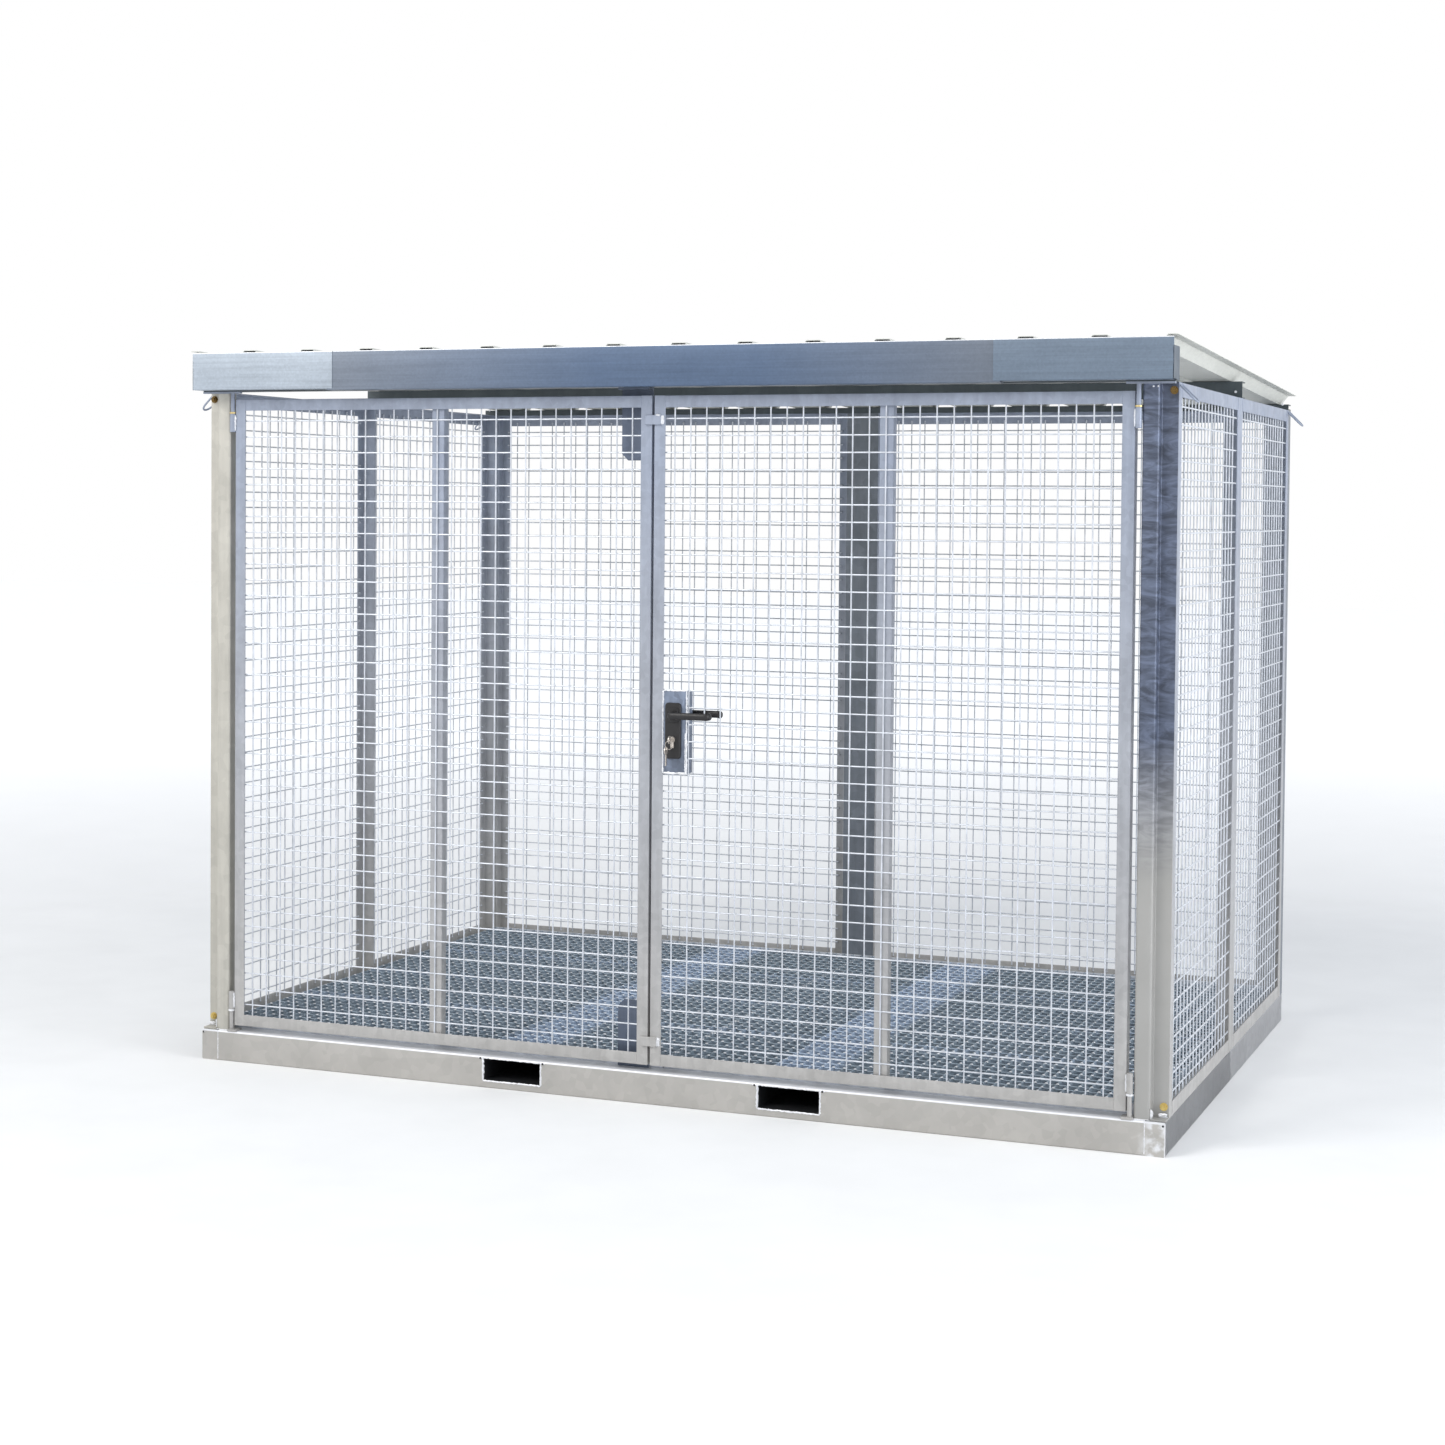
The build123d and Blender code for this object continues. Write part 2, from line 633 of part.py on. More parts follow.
with BuildPart() as hinge_washers:
    for side in (-1, 1):
        for z in (top_knuckle_top + WASHER_PLAY, bottom_knuckle_bottom - WASHER_PLAY - WASHER_HEIGHT):
            with Locations((side * hinge_x, hinge_y, z + WASHER_HEIGHT / 2)):
                Cylinder(WASHER_RADIUS, WASHER_HEIGHT)
                Cylinder(PIN_RADIUS, WASHER_HEIGHT, mode=Mode.SUBTRACT)
save(hinge_washers, "hinge_washers")

# Doors

lock_cut = ((lock_box_left, lock_box_left + LOCK_BOX_WIDTH), (LOCK_BOX_BOTTOM, LOCK_BOX_BOTTOM + LOCK_BOX_HEIGHT))


def door_frame(side):
    """Welded angle frame of one leaf, the right one with two tabs that lap over the left one."""
    across = tuple(sorted((side * door_inner_edge, side * door_outer_edge)))
    plane = front_plane(door_back)
    frame = angle_frame(plane, across, (door_bottom, door_top), DOOR_FLANGE, DOOR_LEG, DOOR_LEG - ANGLE)
    if side < 0:
        return frame
    with BuildPart() as tabbed:
        add(frame.part)
        pad_front = door_front - TAB_CLEARANCE
        tab_right = door_inner_edge + TAB_FOOT
        for z in (door_top - TAB_INSET, door_bottom + TAB_INSET + TAB_HEIGHT):
            up = (z - TAB_HEIGHT, z)
            block((door_inner_edge, tab_right), (pad_front, door_front), up)
            block((-door_inner_edge - TAB_REACH, tab_right), (pad_front - TAB_THICKNESS, pad_front), up)
    return tabbed


for side, side_name in ((-1, "left"), (1, "right")):
    save(door_frame(side), f"{side_name}_door_frame")

    low, high = sorted((side * door_inner_edge, side * door_outer_edge))
    across = widened((low, high), -DOOR_FLANGE)
    up = widened((door_bottom, door_top), -DOOR_FLANGE)
    with BuildPart() as door_mesh:
        with BuildSketch(front_plane(door_mesh_y + WIRE)):
            wires(across, up)
            if side > 0:
                area((lock_box_left - MESH_LAP, lock_cut[0][1]), lock_cut[1], Mode.SUBTRACT)
        extrude(amount=WIRE)
    save(door_mesh, f"{side_name}_door_mesh")

    with BuildPart() as stiffener:
        middle = (low + high) / 2
        block((middle - STIFFENER_WIDTH / 2, middle + STIFFENER_WIDTH / 2),
              (door_mesh_y + WIRE, door_back), widened((door_bottom, door_top), -ANGLE))
    save(stiffener, f"{side_name}_door_stiffener")

    with BuildPart() as knuckles:
        for z in (bottom_knuckle_bottom, top_knuckle_bottom):
            with Locations((side * hinge_x, hinge_y, z + KNUCKLE_LENGTH / 2)):
                Cylinder(KNUCKLE_RADIUS, KNUCKLE_LENGTH)
            weld = (side * door_outer_edge, side * (hinge_x - KNUCKLE_RADIUS / 2))
            block(weld, (hinge_y, hinge_y + KNUCKLE_RADIUS / 2), (z, z + KNUCKLE_LENGTH))
            with Locations((side * hinge_x, hinge_y, z + KNUCKLE_LENGTH / 2)):
                Cylinder(PIN_RADIUS + PIN_CLEARANCE, KNUCKLE_LENGTH, mode=Mode.SUBTRACT)
    save(knuckles, f"{side_name}_door_knuckles")

# Lock on the right door


def cylinder_outline():
    """Keyhole-shaped section of the lock cylinder, round above and narrow below."""
    with Locations((handle_x, cylinder_z)):
        Circle(CYLINDER_RADIUS)
    tail_bottom = cylinder_z + CYLINDER_RADIUS - CYLINDER_HEIGHT
    area((handle_x - CYLINDER_TAIL / 2, handle_x + CYLINDER_TAIL / 2), (tail_bottom, cylinder_z))


def lock_holes():
    """Section of the spindle hole and the cylinder's hole through the pieces of the lock."""
    cylinder_outline()
    with Locations((handle_x, HANDLE_HEIGHT)):
        Circle(SPINDLE_HOLE_RADIUS)


with BuildPart() as lock_box:
    block(lock_cut[0], (door_front, door_back), lock_cut[1])
    with BuildSketch(front_plane(door_back)):
        lock_holes()
    extrude(amount=DOOR_LEG, mode=Mode.SUBTRACT)
save(lock_box, "lock_box")

with BuildPart() as escutcheons:
    escutcheon_z = escutcheon_top - ESCUTCHEON_HEIGHT / 2
    for back in (door_front, door_back + ESCUTCHEON_THICKNESS):
        with BuildSketch(front_plane(back)):
            with Locations((handle_x, escutcheon_z)):
                RectangleRounded(ESCUTCHEON_WIDTH, ESCUTCHEON_HEIGHT, ESCUTCHEON_WIDTH / 5)
        extrude(amount=ESCUTCHEON_THICKNESS)
        with BuildSketch(front_plane(back)):
            lock_holes()
        extrude(amount=ESCUTCHEON_THICKNESS, mode=Mode.SUBTRACT)
save(escutcheons, "escutcheons")

cylinder_front = door_front - ESCUTCHEON_THICKNESS - CYLINDER_PROUD
cylinder_back = door_back + ESCUTCHEON_THICKNESS + CYLINDER_PROUD
with BuildPart() as lock_cylinder:
    with BuildSketch(front_plane(cylinder_back)):
        cylinder_outline()
    extrude(amount=cylinder_back - cylinder_front)
save(lock_cylinder, "lock_cylinder")

with BuildPart() as key:
    bow_y = cylinder_front - KEY_REACH + KEY_BOW_RADIUS
    hole_y = bow_y - KEY_BOW_RADIUS / 2
    with BuildSketch(Plane.YZ.offset(handle_x - KEY_THICKNESS / 2)):
        area((bow_y, cylinder_front), (cylinder_z - KEY_NECK / 2, cylinder_z + KEY_NECK / 2))
        with Locations((bow_y, cylinder_z)):
            Circle(KEY_BOW_RADIUS)
        with Locations((hole_y, cylinder_z)):
            Circle(KEY_HOLE_RADIUS, mode=Mode.SUBTRACT)
    extrude(amount=KEY_THICKNESS)
    # the ring hangs on the lower edge of the key's hole, pressed a little into it
    ring_grip = KEY_RING_BAR / 2 - KEY_RING_PRESS
    ring_z = cylinder_z - KEY_HOLE_RADIUS + ring_grip - KEY_RING_RADIUS
    with Locations(Plane(origin=(handle_x, hole_y, ring_z), z_dir=(0, 1, 0))):
        Torus(KEY_RING_RADIUS, KEY_RING_BAR / 2)
    # a spare key hangs on the ring's lower left
    hang_z = ring_z - (KEY_RING_RADIUS ** 2 - SPARE_KEY_SHIFT ** 2) ** 0.5
    spare_hole_z = hang_z + ring_grip - KEY_HOLE_RADIUS
    spare_bow_z = spare_hole_z - KEY_BOW_RADIUS / 2
    spare_tip_z = spare_bow_z + KEY_BOW_RADIUS - SPARE_KEY_LENGTH
    with BuildSketch(Plane.YZ.offset(handle_x - SPARE_KEY_SHIFT - KEY_THICKNESS / 2)):
        area((hole_y - KEY_NECK / 2, hole_y + KEY_NECK / 2), (spare_tip_z, spare_bow_z))
        with Locations((hole_y, spare_bow_z)):
            Circle(KEY_BOW_RADIUS)
        with Locations((hole_y, spare_hole_z)):
            Circle(KEY_HOLE_RADIUS, mode=Mode.SUBTRACT)
    extrude(amount=KEY_THICKNESS)
save(key, "key")

with BuildPart() as handle:
    grips = (
        (door_front - ESCUTCHEON_THICKNESS - LEVER_PLAY, -1),
        (door_back + ESCUTCHEON_THICKNESS + LEVER_PLAY, 1),
    )
    spindle_x = (handle_x - SPINDLE / 2, handle_x + SPINDLE / 2)
    spindle_z = (HANDLE_HEIGHT - SPINDLE / 2, HANDLE_HEIGHT + SPINDLE / 2)
    block(spindle_x, (grips[0][0], grips[1][0]), spindle_z)
    lever_z = (HANDLE_HEIGHT - LEVER_WIDTH / 2, HANDLE_HEIGHT + LEVER_WIDTH / 2)
    for root_y, outward in grips:
        grip_y = root_y + outward * LEVER_STANDOFF
        with BuildSketch(front_plane(max(root_y, grip_y))):
            with Locations((handle_x, HANDLE_HEIGHT)):
                Circle(LEVER_WIDTH / 2)
        extrude(amount=LEVER_STANDOFF)
        grip_end = handle_x + LEVER_LENGTH
        inner_y = grip_y - outward * LEVER_THICKNESS
        block((handle_x, grip_end), (grip_y, inner_y), lever_z)
        block((grip_end - LEVER_THICKNESS, grip_end), (grip_y, grip_y - outward * LEVER_RETURN), lever_z)
save(handle, "handle")
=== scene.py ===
"""Looks of a walk-in gas cylinder cage: rolled angles, welded wire, grating, lock and finishes."""

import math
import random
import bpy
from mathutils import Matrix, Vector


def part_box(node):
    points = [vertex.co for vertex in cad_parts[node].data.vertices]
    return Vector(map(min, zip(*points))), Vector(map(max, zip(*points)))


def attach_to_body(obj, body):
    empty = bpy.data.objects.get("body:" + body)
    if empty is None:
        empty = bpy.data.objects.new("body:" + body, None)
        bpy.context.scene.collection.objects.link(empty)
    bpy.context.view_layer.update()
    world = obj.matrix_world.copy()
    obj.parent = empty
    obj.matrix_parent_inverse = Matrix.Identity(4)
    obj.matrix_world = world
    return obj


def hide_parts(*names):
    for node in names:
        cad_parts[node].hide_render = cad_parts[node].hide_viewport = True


bl_info = {
    "name": "Gas Cylinder Cage",
    "version": (1, 0, 0),
    "blender": (4, 5, 0),
    "location": "View3D > Sidebar > Cage",
    "description": "Builds the visible pieces of a galvanised gas cylinder cage around its frame",
    "category": "Object",
}

import bmesh
import bpy
from bpy.props import FloatProperty, FloatVectorProperty, PointerProperty
from mathutils import Matrix, Vector

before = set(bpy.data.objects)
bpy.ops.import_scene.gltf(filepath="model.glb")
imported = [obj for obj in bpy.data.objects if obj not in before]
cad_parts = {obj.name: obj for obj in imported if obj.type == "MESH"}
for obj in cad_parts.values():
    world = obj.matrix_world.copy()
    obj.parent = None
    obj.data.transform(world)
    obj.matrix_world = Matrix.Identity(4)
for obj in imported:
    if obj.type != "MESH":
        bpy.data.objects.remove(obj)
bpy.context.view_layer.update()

ROOT = "cage"
RIGHT_DOOR = "right_door"
HANDLE = "door_handle"
SIDES = (("left", -1), ("right", 1))
SHARP_ANGLE = math.radians(35)

# Sizes of the details in metres, and two counts
FORK_CENTRE = 0.4465
FORK_WIDTH = 0.194
FORK_HEIGHTS = (0.0215, 0.0915)
FORK_CORNER = 0.010
FORK_WALL = 0.003
SIDE_FLANGE = 0.058
CHANNEL_SHEET = 0.004
BEARER_COUNT = 3
GRATING_GAP = 0.006
EDGE_BAR = 0.004
CROSS_ROD = 0.0022
CROSS_ROD_DROP = 0.005
NUB_FOOT = 0.0058
NUB_TOP = 0.0034
NUB_HEIGHT = 0.0024
CUT_REACH = 0.02
POCKET_VENT_DROP = 0.006
CORNER_VENT_DROP = 0.009
CORNER_VENT_INSET = 0.006
VENT_LUMP = 0.007
VENT_DEPTH = 0.0006
ANGLE = 0.004
WALL_FLANGE = 0.04
DOOR_FLANGE = 0.035
MESH_LAP = 0.01
POST_SHEET = 0.005
POST_WEB_INSET = 0.045
FOOT_TAB = 0.038
FOOT_TAB_PROUD = 0.003
FOOT_WELDS = 7
FOOT_WELD_PITCH = 0.0035
FOOT_WELD_HEIGHT = 0.026
FOOT_WELD_FALL = 0.002
FOOT_LUMP_REACH = 0.024
FOOT_LUMP_INSET = 0.013
POST_PLUG_INSET = 0.022
POST_PLUG_STEPS = (0.008, 0.021)
POST_PLUG_DROP = 0.013
POST_PLUG_RADIUS = 0.0026
BOLT_HEAD = 0.009
BOLT_HEAD_DEPTH = 0.006
BOLT_WASHER = 0.002
BOLT_END = 0.0035
FOOT_BOLT_INSET = 0.014
FOOT_BOLT_RISE = 0.034
TOP_BOLT_INSET = 0.012
TOP_BOLT_DROP = 0.0225
FASCIA_SHEET = 0.002
FASCIA_LIP = 0.012
RIVET_INSET = 0.02
RIVET_RADIUS = 0.004
RIVET_HEIGHT = 0.003
FASCIA_END_RETURN = 0.08
FASCIA_END_HEIGHT = 0.092
LOOP_BAR = 0.003
LOOP_WIDTH = 0.045
LOOP_REACH = 0.047
LOOP_TOP_DROP = 0.0065
LOOP_SINK = 0.003
LOOP_STEPS = 12
RING_BEVEL = 0.001
WASHER_RADIUS = 0.010
WASHER_HEIGHT = 0.006
KNUCKLE_RADIUS = 0.0093
KNUCKLE_BORE = 0.0072
KNUCKLE_LENGTH = 0.057
PIN_RADIUS = 0.0068
TAB_RIGHT = 0.0255
TAB_HEIGHT = 0.028
TAB_INSET = 0.0575
TAB_PLATE = 0.005
TAB_CORNER = 0.002
TAB_BEVEL = 0.0008
TAB_WELD_PITCH = 0.0035
TAB_WELD_FALL = 0.0006
TAB_SEAM = 0.016
HUB_HALF_WIDTH = 0.019
HUB_HALF_HEIGHT = 0.021
HUB_PROUD = 0.004
HUB_CORNER = 0.006
HUB_BEVEL = 0.0015
PLATE_CORNER = 0.01
PLATE_BEVEL = 0.0025
LOCK_SECOND_BEAD = 0.12
LEVER_RADIUS = 0.0105
LEVER_BEND = 0.012
LEVER_RETURN = 0.02
LEVER_END_INSET = 0.008
LEVER_SQUASH = 0.66
COLLAR_DEPTH = 0.006

# Half thickness of single weld beads
POST_WELD = 0.0026
POST_SEAM = 0.0016
FOOT_LUMP = 0.0034
LOOP_WELD = 0.0038
HINGE_WELD = 0.0032
TAB_WELD = 0.0034
TAB_SEAM_WELD = 0.003

# End dots as a share of the wire's radius; offset and crossing nubs as shares of its diameter
WIRE_END_DOT = 1.5
WIRE_SINK = 0.42
CROSSING_NUB = 0.8

# The photograph's camera: metres, degrees, millimetres of lens and a share of the picture
CAMERA_PLACE = (2.8916, -7.7432, 1.7632)
CAMERA_YAW = -21.524
CAMERA_PITCH = -1.763
CAMERA_ROLL = -0.481
CAMERA_LENS = 62.083
CAMERA_SHIFT = -0.0936

# The floor's glow near the cage and far off, and where it rises
FLOOR_GLOW = (0.04, 0.45)
FLOOR_FADE = (3, 11)


def linear(red, green, blue):
    """A colour given in 0 to 255 display values, as linear light."""
    values = (red / 255, green / 255, blue / 255)
    return tuple(v / 12.92 if v <= 0.04045 else ((v + 0.055) / 1.055) ** 2.4 for v in values)


def size(name, description, default):
    """A size in metres that the panel shows."""
    return FloatProperty(name=name, description=description, default=default, unit="LENGTH", min=0.0001)


def colour(name, description, default):
    """A colour, in linear light, that the panel shows."""
    return FloatVectorProperty(
        name=name, description=description, default=default, subtype="COLOR", size=3, min=0, max=1
    )


class CageSizes(bpy.types.PropertyGroup):
    """Sizes of the details that are added to the frame."""

    wire_diameter: size("Wire diameter", "Thickness of the welded mesh's wires", 0.0045)
    wire_pitch: size("Wire pitch", "Distance between neighbouring wires", 0.05)
    wire_margin: size("Wire margin", "Smallest distance from a frame to its first wire", 0.0175)
    angle_radius: size("Angle root", "Radius in the root and at the toes of the angle sections", 0.0022)
    fold_radius: size("Fold radius", "Inner radius of the folded sheets", 0.003)
    channel_radius: size("Channel corner", "Outer corner radius of the base channels", 0.005)
    bar_pitch: size("Grating pitch", "Distance between the grating's bearing bars", 0.0333)
    bar_thickness: size("Bar thickness", "Thickness of the grating's bearing bars", 0.003)
    rod_pitch: size("Rod pitch", "Distance between the grating's cross rods", 0.05)
    tooth_pitch: size("Tooth pitch", "Distance between the teeth of a bearing bar", 0.025)
    tooth_depth: size("Tooth depth", "Depth of the notches between the teeth", 0.003)
    grating_joint: size("Grating joint", "Place of the joint between the gratings, from the middle", 0.025)
    weld_radius: size("Weld radius", "Half thickness of the weld beads", 0.003)


class CageColours(bpy.types.PropertyGroup):
    """Colours of the finishes."""

    # Painted reflection: zinc_high stands for the sky reflected near the roof, zinc_low for the ground
    # reflected lower down
    zinc_high: colour("Zinc, high", "Galvanised steel near the roof", linear(150, 158, 174))
    zinc_low: colour("Zinc, low", "Galvanised steel near the ground", linear(178, 176, 173))
    base_zinc: colour("Base zinc", "Galvanised steel of the base", linear(180, 177, 172))
    zinc_dark: colour("Dark zinc", "Dull galvanised steel", linear(96, 106, 124))
    rear_zinc: colour("Rear zinc", "Galvanised steel of the rear posts", linear(124, 130, 138))
    # Painted reflection: the posts are one zinc; the left is painted as reflecting light, the right as
    # reflecting dark surroundings high up and the ground low down
    post_left: colour("Left post", "Left front post", linear(188, 185, 176))
    post_high: colour("Right post, high", "Right front post near the roof", linear(84, 92, 110))
    post_low: colour("Right post, low", "Right front post near the ground", linear(166, 165, 162))
    fascia_left: colour("Fascia, left", "Sheet of the left fascia", linear(163, 172, 182))
    fascia_near: colour("Fascia, middle left", "Left end of the middle fascia", linear(118, 126, 138))
    fascia_dark: colour("Fascia, middle", "Centre of the middle fascia", linear(84, 102, 128))
    fascia_far: colour("Fascia, middle right", "Right end of the middle fascia", linear(104, 112, 124))
    fascia_right: colour("Fascia, right", "Sheet of the right fascia", linear(108, 122, 138))
    # Painted shade: the fascia's closed ends are its sheet darkened for their shaded side
    fascia_end: colour("Fascia, ends", "Closed ends of the fascia", linear(62, 78, 94))
    roof: colour("Roof sheet", "Sheets of the roof, both sides", linear(206, 207, 200))
    wire: colour("Wire", "Bright zinc on the wires", linear(206, 210, 217))
    weld: colour("Weld", "Bright zinc on the welds", linear(232, 233, 236))
    lock_zinc: colour("Lock box", "Galvanised steel of the lock box", linear(116, 126, 144))
    purlin: colour("Purlins", "Dull zinc of the purlins in the shade of the roof", linear(76, 84, 88))
    grating: colour("Grating", "Zinc on the floor gratings", linear(150, 164, 176))
    # Painted reflection: grating_lit is the light thrown up onto the grating by the fork tubes and bearers
    # below it
    grating_lit: colour("Grating over a tube", "Gratings over a fork tube or bearer", linear(182, 198, 218))
    yellow_zinc: colour("Yellow zinc", "Foot bolts", linear(206, 182, 110))
    key: colour("Keys", "Lock cylinder and keys", linear(196, 188, 180))
    dark_brass: colour("Dark brass", "Bolts at the posts' tops", linear(120, 96, 52))
    plastic: colour("Black plastic", "Handle set", linear(24, 23, 25))
    # Painted shade: a near-black tone standing in for the dark inside of the vent holes
    hole: colour("Hole", "Depth of the vent holes", (0.004, 0.004, 0.005))
    floor: colour("Floor", "Studio floor", linear(243, 243, 242))


def sizes():
    """The sizes that the panel shows."""
    return bpy.context.scene.cage_sizes


def colours():
    """The colours that the panel shows."""
    return bpy.context.scene.cage_colours


# Materials


def material(name):
    """A new material, its node tree and its shader."""
    made = bpy.data.materials.new(name)
    made.use_nodes = True
    tree = made.node_tree
    return made, tree, tree.nodes["Principled BSDF"]


def node(tree, kind, **settings):
    """A new node; each setting is the value of an input or of a property."""
    made = tree.nodes.new(kind)
    for key, value in settings.items():
        if key in made.inputs:
            made.inputs[key].default_value = value
        else:
            setattr(made, key, value)
    return made


def attach(tree, socket, value):
    """Feeds a socket from another one, or gives it a plain number or colour."""
    if isinstance(value, bpy.types.NodeSocket):
        tree.links.new(value, socket)
    elif isinstance(value, (int, float)):
        socket.default_value = value
    else:
        socket.default_value = (*value, 1)[:len(socket.default_value)]


def object_place(tree, scale=(1, 1, 1)):
    """Object coordinates, stretched."""
    place = node(tree, "ShaderNodeTexCoord")
    mapping = node(tree, "ShaderNodeMapping", Scale=scale)
    tree.links.new(place.outputs["Object"], mapping.inputs["Vector"])
    return mapping.outputs["Vector"]


def place_parts(tree):
    """Object coordinates, followed by their X, Y and Z."""
    flat = object_place(tree)
    split = node(tree, "ShaderNodeSeparateXYZ")
    tree.links.new(flat, split.inputs["Vector"])
    return flat, *split.outputs


def noise(tree, vector, scale, detail, roughness=0.55, distortion=0.0):
    """Cloudy noise between zero and one."""
    made = node(tree, "ShaderNodeTexNoise", Scale=scale, Detail=detail, Roughness=roughness)
    made.inputs["Distortion"].default_value = distortion
    tree.links.new(vector, made.inputs["Vector"])
    return made.outputs["Fac"]


def spangle(tree, vector, scale):
    """A random grey for each zinc crystal."""
    made = node(tree, "ShaderNodeTexVoronoi", Scale=scale, Randomness=1.0)
    tree.links.new(vector, made.inputs["Vector"])
    grey = node(tree, "ShaderNodeRGBToBW")
    tree.links.new(made.outputs["Color"], grey.inputs["Color"])
    return grey.outputs["Val"]


def spread(tree, value, low, high, from_low=0.3, from_high=0.7):
    """Maps a range of values, by default a texture's middle, onto low to high."""
    made = node(tree, "ShaderNodeMapRange")
    made.inputs["From Min"].default_value = from_low
    made.inputs["From Max"].default_value = from_high
    made.inputs["To Min"].default_value = low
    made.inputs["To Max"].default_value = high
    tree.links.new(value, made.inputs["Value"])
    return made.outputs["Result"]


def band(tree, value, low, high, soft):
    """One between two values, zero outside, with soft edges."""
    rise = spread(tree, value, 0, 1, low - soft, low + soft)
    fall = spread(tree, value, 1, 0, high - soft, high + soft)
    return times(tree, rise, fall)


def maths(tree, operation, *values):
    """One step of arithmetic on sockets or plain numbers."""
    made = node(tree, "ShaderNodeMath", operation=operation)
    for socket, value in zip(made.inputs, values):
        attach(tree, socket, value)
    return made.outputs["Value"]


def times(tree, *factors):
    """The product of several values."""
    product = factors[0]
    for factor in factors[1:]:
        product = maths(tree, "MULTIPLY", product, factor)
    return product


def blend_colours(tree, factor, first, second):
    """Mixes two colours, each a socket or a plain colour."""
    mix = node(tree, "ShaderNodeMix", data_type="RGBA")
    attach(tree, mix.inputs["Factor"], factor)
    for socket, value in zip((s for s in mix.inputs if s.type == "RGBA"), (first, second)):
        attach(tree, socket, value)
    return next(s for s in mix.outputs if s.type == "RGBA")


def scaled(tree, value, tone):
    """A colour made lighter or darker by a value around one."""
    made = node(tree, "ShaderNodeVectorMath", operation="SCALE")
    attach(tree, made.inputs[0], tone)
    tree.links.new(value, made.inputs["Scale"])
    return made.outputs["Vector"]


def coat(tree, shader, tone, metallic, rough):
    """Gives a shader its colour, its share of metal and its roughness."""
    tree.links.new(tone, shader.inputs["Base Color"])
    shader.inputs["Metallic"].default_value = metallic
    tree.links.new(rough, shader.inputs["Roughness"])


def bumped(tree, shader, height, strength, distance=0.0006):
    """Roughens a shader's surface with a height texture."""
    bump = node(tree, "ShaderNodeBump", Strength=strength, Distance=distance)
    tree.links.new(height, bump.inputs["Height"])
    tree.links.new(bump.outputs["Normal"], shader.inputs["Normal"])


def height_share(tree, low=0.1, high=1.9):
    """Zero near the ground, one near the roof."""
    _, _, _, z = place_parts(tree)
    return spread(tree, z, 0, 1, low, high)


def galvanised(name, high, low, contrast=1.0, crystals=55, metallic=0.25):
    """Hot-dip zinc: crystals, cloudy stains and faint runs, from one tone near the roof to a lower one;
    these two tones are painted reflection, sky above and ground below.
    """
    made, tree, shader = material(name)
    # Painted reflection: the ground tone low down blends into the sky tone near the roof
    base = blend_colours(tree, height_share(tree), low, high)
    flat = object_place(tree)
    crystal = spread(tree, spangle(tree, flat, crystals), 1 - 0.05 * contrast, 1 + 0.05 * contrast, 0.2, 0.8)
    cloud = spread(tree, noise(tree, flat, 5, 5), 1 - 0.10 * contrast, 1 + 0.08 * contrast)
    streak = noise(tree, object_place(tree, (30, 30, 2.2)), 1.6, 4)
    runs = spread(tree, streak, 1 - 0.08 * contrast, 1 + 0.06 * contrast)
    rough = spread(tree, noise(tree, flat, 14, 4), 0.38, 0.58)
    coat(tree, shader, scaled(tree, times(tree, crystal, cloud, runs), base), metallic, rough)
    bumped(tree, shader, noise(tree, flat, 120, 4), 0.2)
    return made


def base_zinc(name, tone, bright):
    """Zinc of the base: painted highlight on the top edge and top face, painted light on the right side
    face, and a pale weld smear on the front right corner.
    """
    made, tree, shader = material(name)
    flat, across, deep, height = place_parts(tree)
    x, y, z = spans("front_beam")
    seam = x[1] - SIDE_FLANGE
    # Painted highlight: the top edge and top face are turned to the bright tone
    top = spread(tree, height, 0, 1, z[1] - 0.006, z[1] - 0.005)
    corner = spread(tree, across, 0, 0.8, seam - 0.02, seam + 0.02)
    front = spread(tree, deep, 1, 0, y[0] + 0.001, y[0] + 0.003)
    patches = spread(tree, noise(tree, flat, 34, 5), 0, 1, 0.42, 0.6)
    smeared = blend_colours(tree, times(tree, corner, front, patches), tone, bright)
    # Painted light: the right side face is lightened towards the bright tone
    side_painted_light = spread(tree, across, 0, 0.85, x[1] - 0.004, x[1] - 0.001)
    cloud = spread(tree, noise(tree, flat, 5, 5), 0.92, 1.07)
    crystal = spread(tree, spangle(tree, flat, 40), 0.96, 1.04, 0.2, 0.8)
    metal = scaled(tree, times(tree, cloud, crystal), blend_colours(tree, side_painted_light, smeared, bright))
    rough = spread(tree, noise(tree, flat, 14, 4), 0.34, 0.54)
    coat(tree, shader, blend_colours(tree, top, metal, bright), 0.25, rough)
    bumped(tree, shader, noise(tree, flat, 90, 4), 0.2)
    return made


def rippled_post(name, high, low):
    """Zinc that set in wavy dark and bright ripples near the roof and lies smooth near the ground; its tone
    is painted reflection, dark near the roof and pale near the ground.
    """
    made, tree, shader = material(name)
    flat = object_place(tree)
    share = height_share(tree, 0.75, 1.15)
    # Painted reflection: pale ground reflection low down, dark reflection near the roof
    base = blend_colours(tree, share, low, high)
    wavy = noise(tree, object_place(tree, (1, 1, 3.4)), 9, 5, 0.6, 1.6)
    strong = scaled(tree, spread(tree, wavy, 0.62, 1.6, 0.38, 0.64), base)
    soft = scaled(tree, spread(tree, noise(tree, flat, 6, 4), 0.94, 1.05), base)
    rough = spread(tree, noise(tree, flat, 18, 4), 0.28, 0.5)
    coat(tree, shader, blend_colours(tree, share, soft, strong), 0.3, rough)
    bumped(tree, shader, noise(tree, object_place(tree, (1, 1, 0.3)), 40, 4), 0.3, 0.001)
    return made


